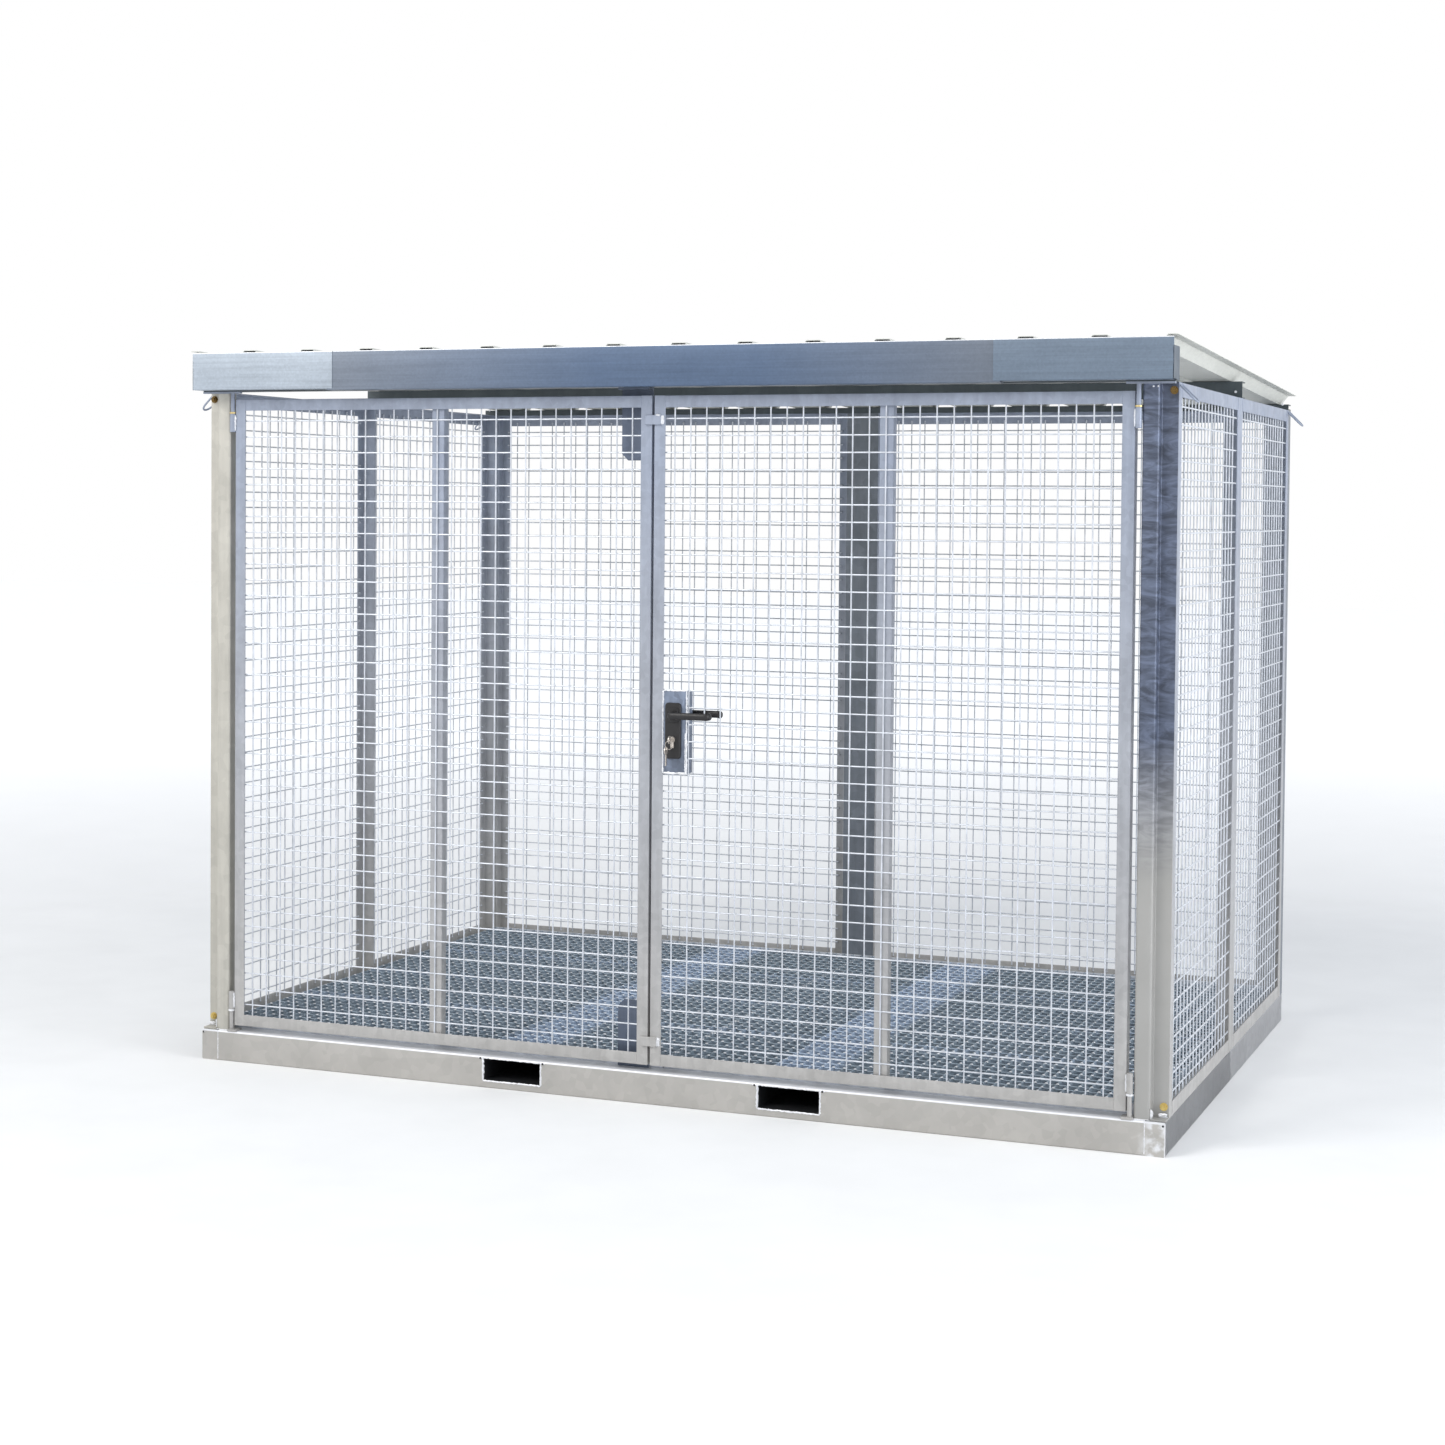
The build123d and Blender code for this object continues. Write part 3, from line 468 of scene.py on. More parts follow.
def sheet_zinc(name, stops, contrast=1.0, metallic=0.3, rough=(0.3, 0.45)):
    """Thin strip-galvanised sheet, brushed along its length; stops give its tone from left to right."""
    made, tree, shader = material(name)
    flat, across, _, _ = place_parts(tree)
    base = stops[0][1]
    for (low, _), (high, tone) in zip(stops, stops[1:]):
        base = blend_colours(tree, spread(tree, across, 0, 1, low, high), base, tone)
    crystal = spread(tree, spangle(tree, flat, 160), 1 - 0.04 * contrast, 1 + 0.04 * contrast, 0.2, 0.8)
    brush = noise(tree, object_place(tree, (1.2, 14, 60)), 2.5, 4)
    brushed = spread(tree, brush, 1 - 0.09 * contrast, 1 + 0.09 * contrast)
    cloud = spread(tree, noise(tree, flat, 2.4, 4), 1 - 0.08 * contrast, 1 + 0.08 * contrast)
    shade = times(tree, crystal, cloud, brushed)
    coat(tree, shader, scaled(tree, shade, base), metallic, spread(tree, noise(tree, flat, 9, 4), *rough))
    bumped(tree, shader, noise(tree, flat, 60, 3), 0.08)
    return made


def grating_zinc(name, plain, lit):
    """Floor grating with painted reflected light: lighter over the fork tubes and, faintly, over the
    bearers.
    """
    made, tree, shader = material(name)
    flat, across, deep, _ = place_parts(tree)
    (low, high), _ = fork_openings()[1]
    # Painted reflection over the fork tubes and the bearers
    tube_reflection = band(tree, maths(tree, "ABSOLUTE", across), low, high, 0.012)
    tone = blend_colours(tree, tube_reflection, plain, lit)
    for y in bearer_places():
        bearer_reflection = times(tree, band(tree, deep, y - 0.03, y + 0.03, 0.012), 0.55)
        tone = blend_colours(tree, bearer_reflection, tone, lit)
    shade = spread(tree, noise(tree, flat, 25, 5), 0.78, 1.2)
    coat(tree, shader, scaled(tree, shade, tone), 0.2, spread(tree, noise(tree, flat, 40, 4), 0.3, 0.5))
    return made


def fork_tube_zinc(name, tone, inside_shade=(0.006, 0.007, 0.009)):
    """Fork tubes: zinc outside, nearly black inside as painted shade."""
    made, tree, shader = material(name)
    flat, across, _, height = place_parts(tree)
    inside = []
    for value, (low, high) in zip((maths(tree, "ABSOLUTE", across), height), fork_openings()[1]):
        inside.append(band(tree, value, low + FORK_WALL / 2, high - FORK_WALL / 2, 0.0004))
    # Painted shade fills the tubes' insides
    metal = blend_colours(tree, times(tree, *inside), tone, inside_shade)
    shade = spread(tree, noise(tree, flat, 8, 5), 0.8, 1.2)
    coat(tree, shader, scaled(tree, shade, metal), 0, spread(tree, noise(tree, flat, 30, 4), 0.5, 0.75))
    return made


def plain_metal(name, tone, metallic, rough, grain):
    """Small metal parts with worn, uneven gloss."""
    made, tree, shader = material(name)
    flat = object_place(tree)
    shade = spread(tree, noise(tree, flat, grain, 5), 0.82, 1.16)
    gloss = spread(tree, noise(tree, flat, grain * 2, 4), *rough)
    coat(tree, shader, scaled(tree, shade, tone), metallic, gloss)
    bumped(tree, shader, noise(tree, flat, grain * 6, 3), 0.15, 0.0003)
    return made


def moulded_plastic(name, tone):
    """Black moulded plastic with a fine eroded grain."""
    made, tree, shader = material(name)
    flat = object_place(tree)
    shade = spread(tree, noise(tree, flat, 60, 4), 0.85, 1.25)
    gloss = spread(tree, noise(tree, flat, 200, 3), 0.38, 0.52)
    coat(tree, shader, scaled(tree, shade, tone), 0, gloss)
    bumped(tree, shader, noise(tree, flat, 1500, 2), 0.2, 0.0002)
    return made


def finish(name):
    """The named finish, made once; the brass is the frame's own."""
    if name in bpy.data.materials:
        return bpy.data.materials[name]
    tones = colours()
    middle_stops = (
        (-1.05, tones.fascia_near),
        (-0.15, tones.fascia_dark),
        (0.35, tones.fascia_dark),
        (1.05, tones.fascia_far),
    )
    dull, worn, shiny = (0.3, 0.5), (0.3, 0.45), (0.25, 0.4)
    makers = {
        "galvanised": lambda: galvanised(name, tones.zinc_high, tones.zinc_low),
        # The weld tone serves for the weld smear and for the base's painted highlight and painted light
        "base zinc": lambda: base_zinc(name, tones.base_zinc, tones.weld),
        # Painted reflection: the left and right posts are lit and shaded copies of one zinc
        "left post": lambda: galvanised(name, tones.post_left, tones.post_left, 1.0, 34),
        "right post": lambda: rippled_post(name, tones.post_high, tones.post_low),
        "rear zinc": lambda: galvanised(name, tones.rear_zinc, tones.rear_zinc, 1.5, 34),
        "dark zinc": lambda: galvanised(name, tones.zinc_dark, tones.zinc_dark, 1.2, 40),
        "shaded zinc": lambda: galvanised(name, tones.purlin, tones.purlin, 1.0, 40),
        "lock zinc": lambda: galvanised(name, tones.lock_zinc, tones.lock_zinc, 3.2, 70, 0.35),
        "left fascia": lambda: sheet_zinc(name, ((0, tones.fascia_left),), 1.2),
        "middle fascia": lambda: sheet_zinc(name, middle_stops),
        "right fascia": lambda: sheet_zinc(name, ((0, tones.fascia_right),)),
        "fascia end": lambda: sheet_zinc(name, ((0, tones.fascia_end),)),
        "roof sheet": lambda: sheet_zinc(name, ((0, tones.roof),), 0.6, 0.15, (0.4, 0.55)),
        "bright wire": lambda: plain_metal(name, tones.wire, 0.25, worn, 30),
        "weld zinc": lambda: plain_metal(name, tones.weld, 0.15, dull, 90),
        "grating zinc": lambda: grating_zinc(name, tones.grating, tones.grating_lit),
        "yellow zinc": lambda: plain_metal(name, tones.yellow_zinc, 0.5, shiny, 60),
        "dark brass": lambda: plain_metal(name, tones.dark_brass, 0.6, (0.2, 0.35), 60),
        "key steel": lambda: plain_metal(name, tones.key, 0.6, (0.2, 0.35), 80),
        "black plastic": lambda: moulded_plastic(name, tones.plastic),
        "fork tube": lambda: fork_tube_zinc(name, tones.base_zinc),
        "vent hole": lambda: moulded_plastic(name, tones.hole),
    }
    return makers[name]()


# Shapes


def rounded(corners, radii, steps):
    """A closed outline with its corners turned into arcs."""
    outline = []
    count = len(corners)
    for i in range(count):
        corner = Vector(corners[i])
        before = (Vector(corners[i - 1]) - corner).normalized()
        after = (Vector(corners[(i + 1) % count]) - corner).normalized()
        radius = radii[i] if isinstance(radii, (list, tuple)) else radii
        half = before.angle(after) / 2
        if radius <= 0 or half > math.pi / 2 - 0.01:
            outline.append(corner)
            continue
        middle = corner + (before + after).normalized() * (radius / math.sin(half))
        start = corner + before * (radius / math.tan(half)) - middle
        end = corner + after * (radius / math.tan(half)) - middle
        turn = start.angle_signed(end)
        for k in range(steps + 1):
            angle = -turn * k / steps
            outline.append(middle + Matrix.Rotation(angle, 2) @ start)
    return outline


def rectangle(a, b, radius, steps=4):
    """A rounded rectangle between two values of each axis."""
    return rounded([(a[0], b[0]), (a[1], b[0]), (a[1], b[1]), (a[0], b[1])], radius, steps)


def folded(path, thickness, radius, steps=4):
    """Outline of a bent sheet: a path along one face, the other face to its left."""
    points = [Vector(p) for p in path]
    directions = [(points[i + 1] - points[i]).normalized() for i in range(len(points) - 1)]
    lefts = [Vector((-d.y, d.x)) for d in directions]
    other = []
    turns = []
    for i, point in enumerate(points):
        if i in (0, len(points) - 1):
            other.append(point + lefts[min(i, len(lefts) - 1)] * thickness)
            turns.append(0)
            continue
        across = lefts[i - 1] + lefts[i]
        other.append(point + across * (thickness / (1 + lefts[i - 1].dot(lefts[i]))))
        turns.append(1 if directions[i - 1].cross(directions[i]) > 0 else -1)
    near = [0 if t == 0 else (radius + thickness if t > 0 else radius) for t in turns]
    far = [0 if t == 0 else (radius if t > 0 else radius + thickness) for t in turns]
    return rounded(points + other[::-1], near + far[::-1], steps)


def skin(mesh, rings):
    """Joins neighbouring rings of points with faces."""
    for ring, following in zip(rings, rings[1:]):
        for i in range(len(ring)):
            j = (i + 1) % len(ring)
            mesh.faces.new((ring[i], ring[j], following[j], following[i]))


def capped(mesh, rings):
    """Joins neighbouring rings and closes the first and the last."""
    skin(mesh, rings)
    mesh.faces.new(rings[0][::-1])
    mesh.faces.new(rings[-1])


def prism(mesh, outline, place, low, high):
    """A closed outline drawn out from low to high; place(a, b, t) gives each point."""
    capped(mesh, [[mesh.verts.new(place(p[0], p[1], t)) for p in outline] for t in (low, high)])


def along_x(a, b, t):
    """A point of a shape that is drawn in Y and Z and runs along X."""
    return Vector((t, a, b))


def along_y(a, b, t):
    """A point of a shape that is drawn in X and Z and runs along Y."""
    return Vector((a, t, b))


def along_z(a, b, t):
    """A point of a shape that is drawn in X and Y and runs along Z."""
    return Vector((a, b, t))


def tube_path(mesh, points, radii, sides, squash=1.0, up=Vector((0, 0, 1))):
    """A round bar through points, its radius given at each; squash flattens it across up."""
    rings = []
    for i, point in enumerate(points):
        ahead = (points[min(i + 1, len(points) - 1)] - points[max(i - 1, 0)]).normalized()
        side = ahead.cross(up).normalized()
        rise = side.cross(ahead).normalized()
        ring = []
        for k in range(sides):
            angle = 2 * math.pi * k / sides
            offset = side * math.cos(angle) * squash + rise * math.sin(angle)
            ring.append(mesh.verts.new(point + offset * radii[i]))
        rings.append(ring)
    capped(mesh, rings)


def smooth_path(corners, radius, steps):
    """Points along straight runs whose corners are turned into arcs."""
    points = [Vector(corners[0])]
    for before, corner, after in zip(corners, corners[1:], corners[2:]):
        corner = Vector(corner)
        back = (Vector(before) - corner).normalized()
        ahead = (Vector(after) - corner).normalized()
        reach = radius / math.tan(back.angle(ahead) / 2)
        start = corner + back * reach
        end = corner + ahead * reach
        for k in range(steps + 1):
            t = k / steps
            points.append(start * (1 - t) ** 2 + corner * 2 * t * (1 - t) + end * t ** 2)
    points.append(Vector(corners[-1]))
    return points


def bead(mesh, start, end, radius, seed):
    """A lumpy, slightly wandering weld bead between two points."""
    start = Vector(start)
    end = Vector(end)
    dice = random.Random(seed)
    length = (end - start).length
    count = max(3, int(length / (radius * 1.5)))
    points = []
    radii = []
    for i in range(count + 1):
        wander = Vector([dice.uniform(-1, 1) for _ in range(3)]) * radius * 0.22
        points.append(start.lerp(end, i / count) + wander)
        radii.append(radius * dice.uniform(0.6, 1.15))
    radii[0] = radii[-1] = radius * 0.4
    up = Vector((0, 0, 1)) if abs((end - start).normalized().z) < 0.9 else Vector((0, 1, 0))
    tube_path(mesh, points, radii, 6, 1.0, up)


def block(mesh, place, a, b, t, radius=0.0):
    """A block between two values of each of a view's axes, its edges along the depth rounded."""
    prism(mesh, rectangle(sorted(a), sorted(b), radius, 3), place, *sorted(t))


def lathe(mesh, profile, x, y, sides=24):
    """A ring turned about an upright axis from a closed profile of radius and height."""
    rings = []
    for k in range(sides):
        angle = 2 * math.pi * k / sides
        spot = Vector((math.cos(angle), math.sin(angle), 0))
        rings.append([mesh.verts.new(Vector((x, y, z)) + spot * radius) for radius, z in profile])
    skin(mesh, rings + rings[:1])


def bevelled(mesh, outline, place, back, front, bevel):
    """A plate whose front edges are bevelled; its outline is given by a function of the inset."""
    depth = math.copysign(bevel, back - front)
    layers = ((outline(0), back), (outline(0), front + depth), (outline(bevel), front))
    capped(mesh, [[mesh.verts.new(place(p[0], p[1], t)) for p in points] for points, t in layers])


def disc(mesh, centre, axis, radius, depth, sides=20):
    """A short round plug standing on a face."""
    turn = Vector((0, 0, 1)).rotation_difference(Vector(axis)).to_matrix().to_4x4()
    place = Matrix.Translation(Vector(centre) + Vector(axis) * depth / 2) @ turn
    bmesh.ops.create_cone(
        mesh, cap_ends=True, segments=sides, radius1=radius, radius2=radius, depth=depth, matrix=place
    )


def piece(mesh, name, finish_name, body, replaced=()):
    """Turns a bmesh into a finished object that rides on a body."""
    bmesh.ops.remove_doubles(mesh, verts=mesh.verts, dist=1e-6)
    bmesh.ops.recalc_face_normals(mesh, faces=mesh.faces)
    for face in mesh.faces:
        face.smooth = True
    for edge in mesh.edges:
        if len(edge.link_faces) == 2 and edge.calc_face_angle(0) > SHARP_ANGLE:
            edge.smooth = False
    data = bpy.data.meshes.new(name)
    mesh.to_mesh(data)
    mesh.free()
    data.materials.append(finish(finish_name))
    made = bpy.data.objects.new(name, data)
    bpy.context.scene.collection.objects.link(made)
    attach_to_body(made, body)
    if replaced:
        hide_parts(*replaced)
    return made


def paint(finish_name, *nodes):
    """Gives CAD nodes that stay a better finish."""
    for name in nodes:
        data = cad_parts[name].data
        data.materials.clear()
        data.materials.append(finish(finish_name))


def spans(name):
    """The X, Y and Z ranges of a CAD node."""
    low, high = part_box(name)
    return [(low[i], high[i]) for i in range(3)]


# Repetition by geometry nodes


def new_tree(name, inputs):
    """An empty geometry tree with named inputs, its input node and its output node."""
    tree = bpy.data.node_groups.new(name, "GeometryNodeTree")
    tree.interface.new_socket("Geometry", in_out="OUTPUT", socket_type="NodeSocketGeometry")
    for label, kind in inputs:
        tree.interface.new_socket(label, in_out="INPUT", socket_type=kind)
    return tree, tree.nodes.new("NodeGroupInput"), tree.nodes.new("NodeGroupOutput")


def close_tree(tree, geometry, given, result):
    """Ends a tree: its instances are made real and get the material."""
    real = tree.nodes.new("GeometryNodeRealizeInstances")
    tree.links.new(geometry, real.inputs["Geometry"])
    coated = tree.nodes.new("GeometryNodeSetMaterial")
    tree.links.new(real.outputs["Geometry"], coated.inputs["Geometry"])
    tree.links.new(given.outputs["Material"], coated.inputs["Material"])
    tree.links.new(coated.outputs["Geometry"], result.inputs["Geometry"])


def copies_in_row(tree, given, shape):
    """The nodes that put copies of a shape on an evenly spaced line."""
    link = tree.links.new
    line = tree.nodes.new("GeometryNodeMeshLine")
    link(given.outputs["Count"], line.inputs["Count"])
    link(given.outputs["Step"], line.inputs["Offset"])
    copies = tree.nodes.new("GeometryNodeInstanceOnPoints")
    link(line.outputs["Mesh"], copies.inputs["Points"])
    link(shape, copies.inputs["Instance"])
    return line, copies


def row_of_wires():
    """Parallel wires, each with a weld dot at both ends."""
    name = "Row of wires"
    if name in bpy.data.node_groups:
        return bpy.data.node_groups[name]
    tree, given, result = new_tree(name, (
        ("Count", "NodeSocketInt"), ("First", "NodeSocketVector"), ("Step", "NodeSocketVector"),
        ("Direction", "NodeSocketVector"), ("Length", "NodeSocketFloat"), ("Radius", "NodeSocketFloat"),
        ("Weld radius", "NodeSocketFloat"), ("Material", "NodeSocketMaterial"),
    ))
    link = tree.links.new
    turn = tree.nodes.new("FunctionNodeAlignRotationToVector")
    turn.axis = "Z"
    link(given.outputs["Direction"], turn.inputs["Vector"])
    wire = tree.nodes.new("GeometryNodeMeshCylinder")
    wire.inputs["Vertices"].default_value = 8
    link(given.outputs["Radius"], wire.inputs["Radius"])
    link(given.outputs["Length"], wire.inputs["Depth"])
    dot = tree.nodes.new("GeometryNodeMeshIcoSphere")
    dot.inputs["Subdivisions"].default_value = 2
    link(given.outputs["Weld radius"], dot.inputs["Radius"])
    join = tree.nodes.new("GeometryNodeJoinGeometry")
    for share, shape in ((0.0, wire), (-0.5, dot), (0.5, dot)):
        line, copies = copies_in_row(tree, given, shape.outputs["Mesh"])
        reach = tree.nodes.new("ShaderNodeMath")
        reach.operation = "MULTIPLY"
        reach.inputs[1].default_value = share
        link(given.outputs["Length"], reach.inputs[0])
        along = tree.nodes.new("ShaderNodeVectorMath")
        along.operation = "SCALE"
        link(given.outputs["Direction"], along.inputs[0])
        link(reach.outputs["Value"], along.inputs["Scale"])
        start = tree.nodes.new("ShaderNodeVectorMath")
        link(given.outputs["First"], start.inputs[0])
        link(along.outputs["Vector"], start.inputs[1])
        link(start.outputs["Vector"], line.inputs["Start Location"])
        link(turn.outputs["Rotation"], copies.inputs["Rotation"])
        link(copies.outputs["Instances"], join.inputs["Geometry"])
    close_tree(tree, join.outputs["Geometry"], given, result)
    return tree


def row_of_copies():
    """Copies of one object in an even row."""
    name = "Row of copies"
    if name in bpy.data.node_groups:
        return bpy.data.node_groups[name]
    tree, given, result = new_tree(name, (
        ("Object", "NodeSocketObject"), ("Count", "NodeSocketInt"), ("Step", "NodeSocketVector"),
        ("Material", "NodeSocketMaterial"),
    ))
    shape = tree.nodes.new("GeometryNodeObjectInfo")
    tree.links.new(given.outputs["Object"], shape.inputs["Object"])
    _, copies = copies_in_row(tree, given, shape.outputs["Geometry"])
    close_tree(tree, copies.outputs["Instances"], given, result)
    return tree


def grow(mesh, tree, **values):
    """Runs a geometry tree and adds what it makes to a bmesh."""
    holder = bpy.data.objects.new("holder", bpy.data.meshes.new("holder"))
    bpy.context.scene.collection.objects.link(holder)
    modifier = holder.modifiers.new("Row", "NODES")
    modifier.node_group = tree
    sockets = {s.name.lower().replace(" ", "_"): s.identifier for s in tree.interface.items_tree}
    for label, value in values.items():
        modifier[sockets[label]] = value
    graph = bpy.context.evaluated_depsgraph_get()
    data = bpy.data.meshes.new_from_object(holder.evaluated_get(graph))
    mesh.from_mesh(data)
    bpy.data.meshes.remove(data)
    bpy.data.objects.remove(holder)


def temporary(mesh, name):
    """Turns a bmesh into an object for copying; whoever asks for it removes it."""
    bmesh.ops.recalc_face_normals(mesh, faces=mesh.faces)
    data = bpy.data.meshes.new(name)
    mesh.to_mesh(data)
    mesh.free()
    made = bpy.data.objects.new(name, data)
    bpy.context.scene.collection.objects.link(made)
    return made


def wire_places(low, high):
    """Middles of the wires across an opening, evenly pitched and centred."""
    pitch = sizes().wire_pitch
    count = int((high - low - 2 * sizes().wire_margin) / pitch)
    start = (low + high - count * pitch) / 2
    return [start + i * pitch for i in range(count + 1)]


def add_wires(mesh, axis, places, depth, span, upright):
    """One row of wires of a panel; axis 0 runs across X, axis 1 across Y."""
    if not places:
        return
    wire = sizes().wire_diameter / 2
    first = [depth, depth, depth]
    step = [0.0, 0.0, 0.0]
    direction = [0.0, 0.0, 0.0]
    run = 2 if upright else axis
    row = axis if upright else 2
    first[row] = places[0]
    first[run] = sum(span) / 2
    step[row] = sizes().wire_pitch
    direction[run] = 1.0
    grow(
        mesh, row_of_wires(), count=len(places), first=first, step=step, direction=direction,
        length=span[1] - span[0], radius=wire, weld_radius=wire * WIRE_END_DOT,
        material=finish("bright wire"),
    )


def wire_panel(mesh, axis, across, up, middle, upright_side, cut=None):
    """A welded panel that laps behind its frame, with an optional cut-out beside the left upright."""
    offset = upright_side * sizes().wire_diameter * WIRE_SINK
    columns = wire_places(*across)
    rows = wire_places(*up)
    across = (across[0] - MESH_LAP, across[1] + MESH_LAP)
    up = (up[0] - MESH_LAP, up[1] + MESH_LAP)
    if cut is None:
        uprights = ((columns, up),)
        levels = ((rows, across),)
    else:
        (_, right), (bottom, top) = cut
        short = [c for c in columns if c < right]
        uprights = (([c for c in columns if c > right], up), (short, (up[0], bottom)), (short, (top, up[1])))
        beside = [r for r in rows if bottom < r < top]
        levels = (
            ([r for r in rows if r < bottom], across),
            ([r for r in rows if r > top], across),
            (beside, (right, across[1])),
        )
    for places, span in uprights:
        add_wires(mesh, axis, places, middle + offset, span, True)
    for places, span in levels:
        add_wires(mesh, axis, places, middle - offset, span, False)


def grow_row(mesh, row, count, step, finish_name):
    """Repeats what a temporary object holds in an even row, and removes the object."""
    grow(mesh, row_of_copies(), object=row, count=count, step=step, material=finish(finish_name))
    bpy.data.objects.remove(row)


def crossing_nubs(mesh, axis, across, up, middle):
    """Small bright nubs where the wires of a panel are welded together."""
    columns = wire_places(*across)
    radius = sizes().wire_diameter * CROSSING_NUB
    column = bmesh.new()
    for height in wire_places(*up):
        spot = [middle, middle, height]
        spot[axis] = columns[0]
        bmesh.ops.create_icosphere(column, subdivisions=1, radius=radius, matrix=Matrix.Translation(spot))
    step = [0.0, 0.0, 0.0]
    step[axis] = sizes().wire_pitch
    grow_row(mesh, temporary(column, "nubs of one wire"), len(columns), step, "weld zinc")


def angle_frame(mesh, u, v, flange, leg, place, face, back):
    """A welded frame of angles: the uprights run through and the rails butt between them."""
    root = sizes().angle_radius
    corners = [(0, 0), (flange, 0), (flange, ANGLE), (ANGLE, ANGLE), (ANGLE, leg), (0, leg)]
    section = rounded(corners, [root / 2, root / 3, root, root, root, root / 3], 3)
    between = (u[0] + flange, u[1] - flange)
    behind = (face + back * ANGLE, face + back * leg)
    for edge, inward in ((u[0], 1), (u[1], -1)):
        prism(mesh, section, lambda a, b, t: place(edge + inward * a, t, face + back * b), *v)
    for edge, inward in ((v[0], 1), (v[1], -1)):
        prism(mesh, section, lambda a, b, t: place(t, edge + inward * a, face + back * b), *between)
        for low, high in ((u[0] + ANGLE, between[0]), (between[1], u[1] - ANGLE)):
            block(mesh, place, (low, high), (edge, edge + inward * ANGLE), behind)
        for joint in between:
            end = place(joint, edge + inward * flange, face)
            bead(mesh, place(joint, edge, face), end, root / 2, joint + edge)


def inset(ranges, by):
    """Ranges made smaller by the same amount at both ends."""
    return [(low + by, high - by) for low, high in ranges]


# Pieces


def fork_openings():
    """X and Z ranges of the two fork tubes."""
    half = FORK_WIDTH / 2
    return [((side * FORK_CENTRE - half, side * FORK_CENTRE + half), FORK_HEIGHTS) for side in (-1, 1)]


def bearer_places():
    """Middles of the floor bearers, evenly spaced between the front and rear channels."""
    start = spans("front_beam")[1][1]
    end = spans("rear_beam")[1][0]
    return [start + (end - start) * (i + 1) / (BEARER_COUNT + 1) for i in range(BEARER_COUNT)]


def channel_outline(outer, inner, z):
    """Section of a channel open on its inner side, its outer corners rounded."""
    web = outer + math.copysign(CHANNEL_SHEET, inner - outer)
    corner = sizes().channel_radius
    low = z[0] + CHANNEL_SHEET
    high = z[1] - CHANNEL_SHEET
    outside = [(inner, z[0]), (outer, z[0]), (outer, z[1]), (inner, z[1])]
    inside = [(inner, high), (web, high), (web, low), (inner, low)]
    return rounded(outside + inside, [0, corner, corner, 0, 0, 0, 0, 0], 5)


def base_channels():
    """Side channels with closed ends, and between them the front and rear ones with the fork openings."""
    corner = sizes().channel_radius
    x, front_y, z = spans("front_beam")
    rear_y = spans("rear_beam")[1]
    seam = x[1] - SIDE_FLANGE
    for name, outer, inner in (("front", *front_y), ("rear", *rear_y[::-1])):
        mesh = bmesh.new()
        prism(mesh, channel_outline(outer, inner, z), along_x, -seam, seam)
        made = piece(mesh, f"{name}_channel", "base zinc", ROOT, (f"{name}_beam",))
        cutter = bmesh.new()
        for across, up in fork_openings():
            block(cutter, along_y, across, up, (outer - CUT_REACH, outer + CUT_REACH), FORK_CORNER)
        bmesh.ops.recalc_face_normals(cutter, faces=cutter.faces)
        cut_shape(made, cutter)
    low, high = front_y[0], rear_y[1]
    for name, sign in SIDES:
        outer, inner = sign * x[1], sign * seam
        mesh = bmesh.new()
        prism(mesh, channel_outline(outer, inner, z), along_y, low + CHANNEL_SHEET, high - CHANNEL_SHEET)
        corners = [(inner, z[0]), (outer, z[0]), (outer, z[1]), (inner, z[1])]
        end = rounded(corners, [0, corner, corner, 0], 5)
        for start, stop in ((low, low + CHANNEL_SHEET), (high - CHANNEL_SHEET, high)):
            prism(mesh, end, along_y, start, stop)
        piece(mesh, f"{name}_channel", "base zinc", ROOT, (f"{name}_beam",))
    fork_pockets(low, high)
    paint("dark zinc", "floor_bearers")


def fork_pockets(low, high):
    """Two hollow tubes that run through the base from front to rear."""
    tubes = bmesh.new()
    for across, up in fork_openings():
        outside = rectangle(across, up, FORK_CORNER)
        inside = rectangle(*inset((across, up), FORK_WALL), FORK_CORNER - FORK_WALL)
        rings = []
        for outline, place in ((outside, low), (outside, high), (inside, high), (inside, low)):
            rings.append([tubes.verts.new((p[0], place, p[1])) for p in outline])
        skin(tubes, rings + rings[:1])
    piece(tubes, "fork_pockets", "fork tube", ROOT, ("fork_tubes",))


def cut_shape(made, cutter):
    """Cuts a bmesh out of a finished object."""
    data = bpy.data.meshes.new("cutter")
    cutter.to_mesh(data)
    cutter.free()
    tool = bpy.data.objects.new("cutter", data)
    bpy.context.scene.collection.objects.link(tool)
    modifier = made.modifiers.new("Cut", "BOOLEAN")
    modifier.operation = "DIFFERENCE"
    modifier.solver = "EXACT"
    modifier.object = tool
    graph = bpy.context.evaluated_depsgraph_get()
    result = bpy.data.meshes.new_from_object(made.evaluated_get(graph))
    made.modifiers.clear()
    made.data = result
    bpy.data.objects.remove(tool)


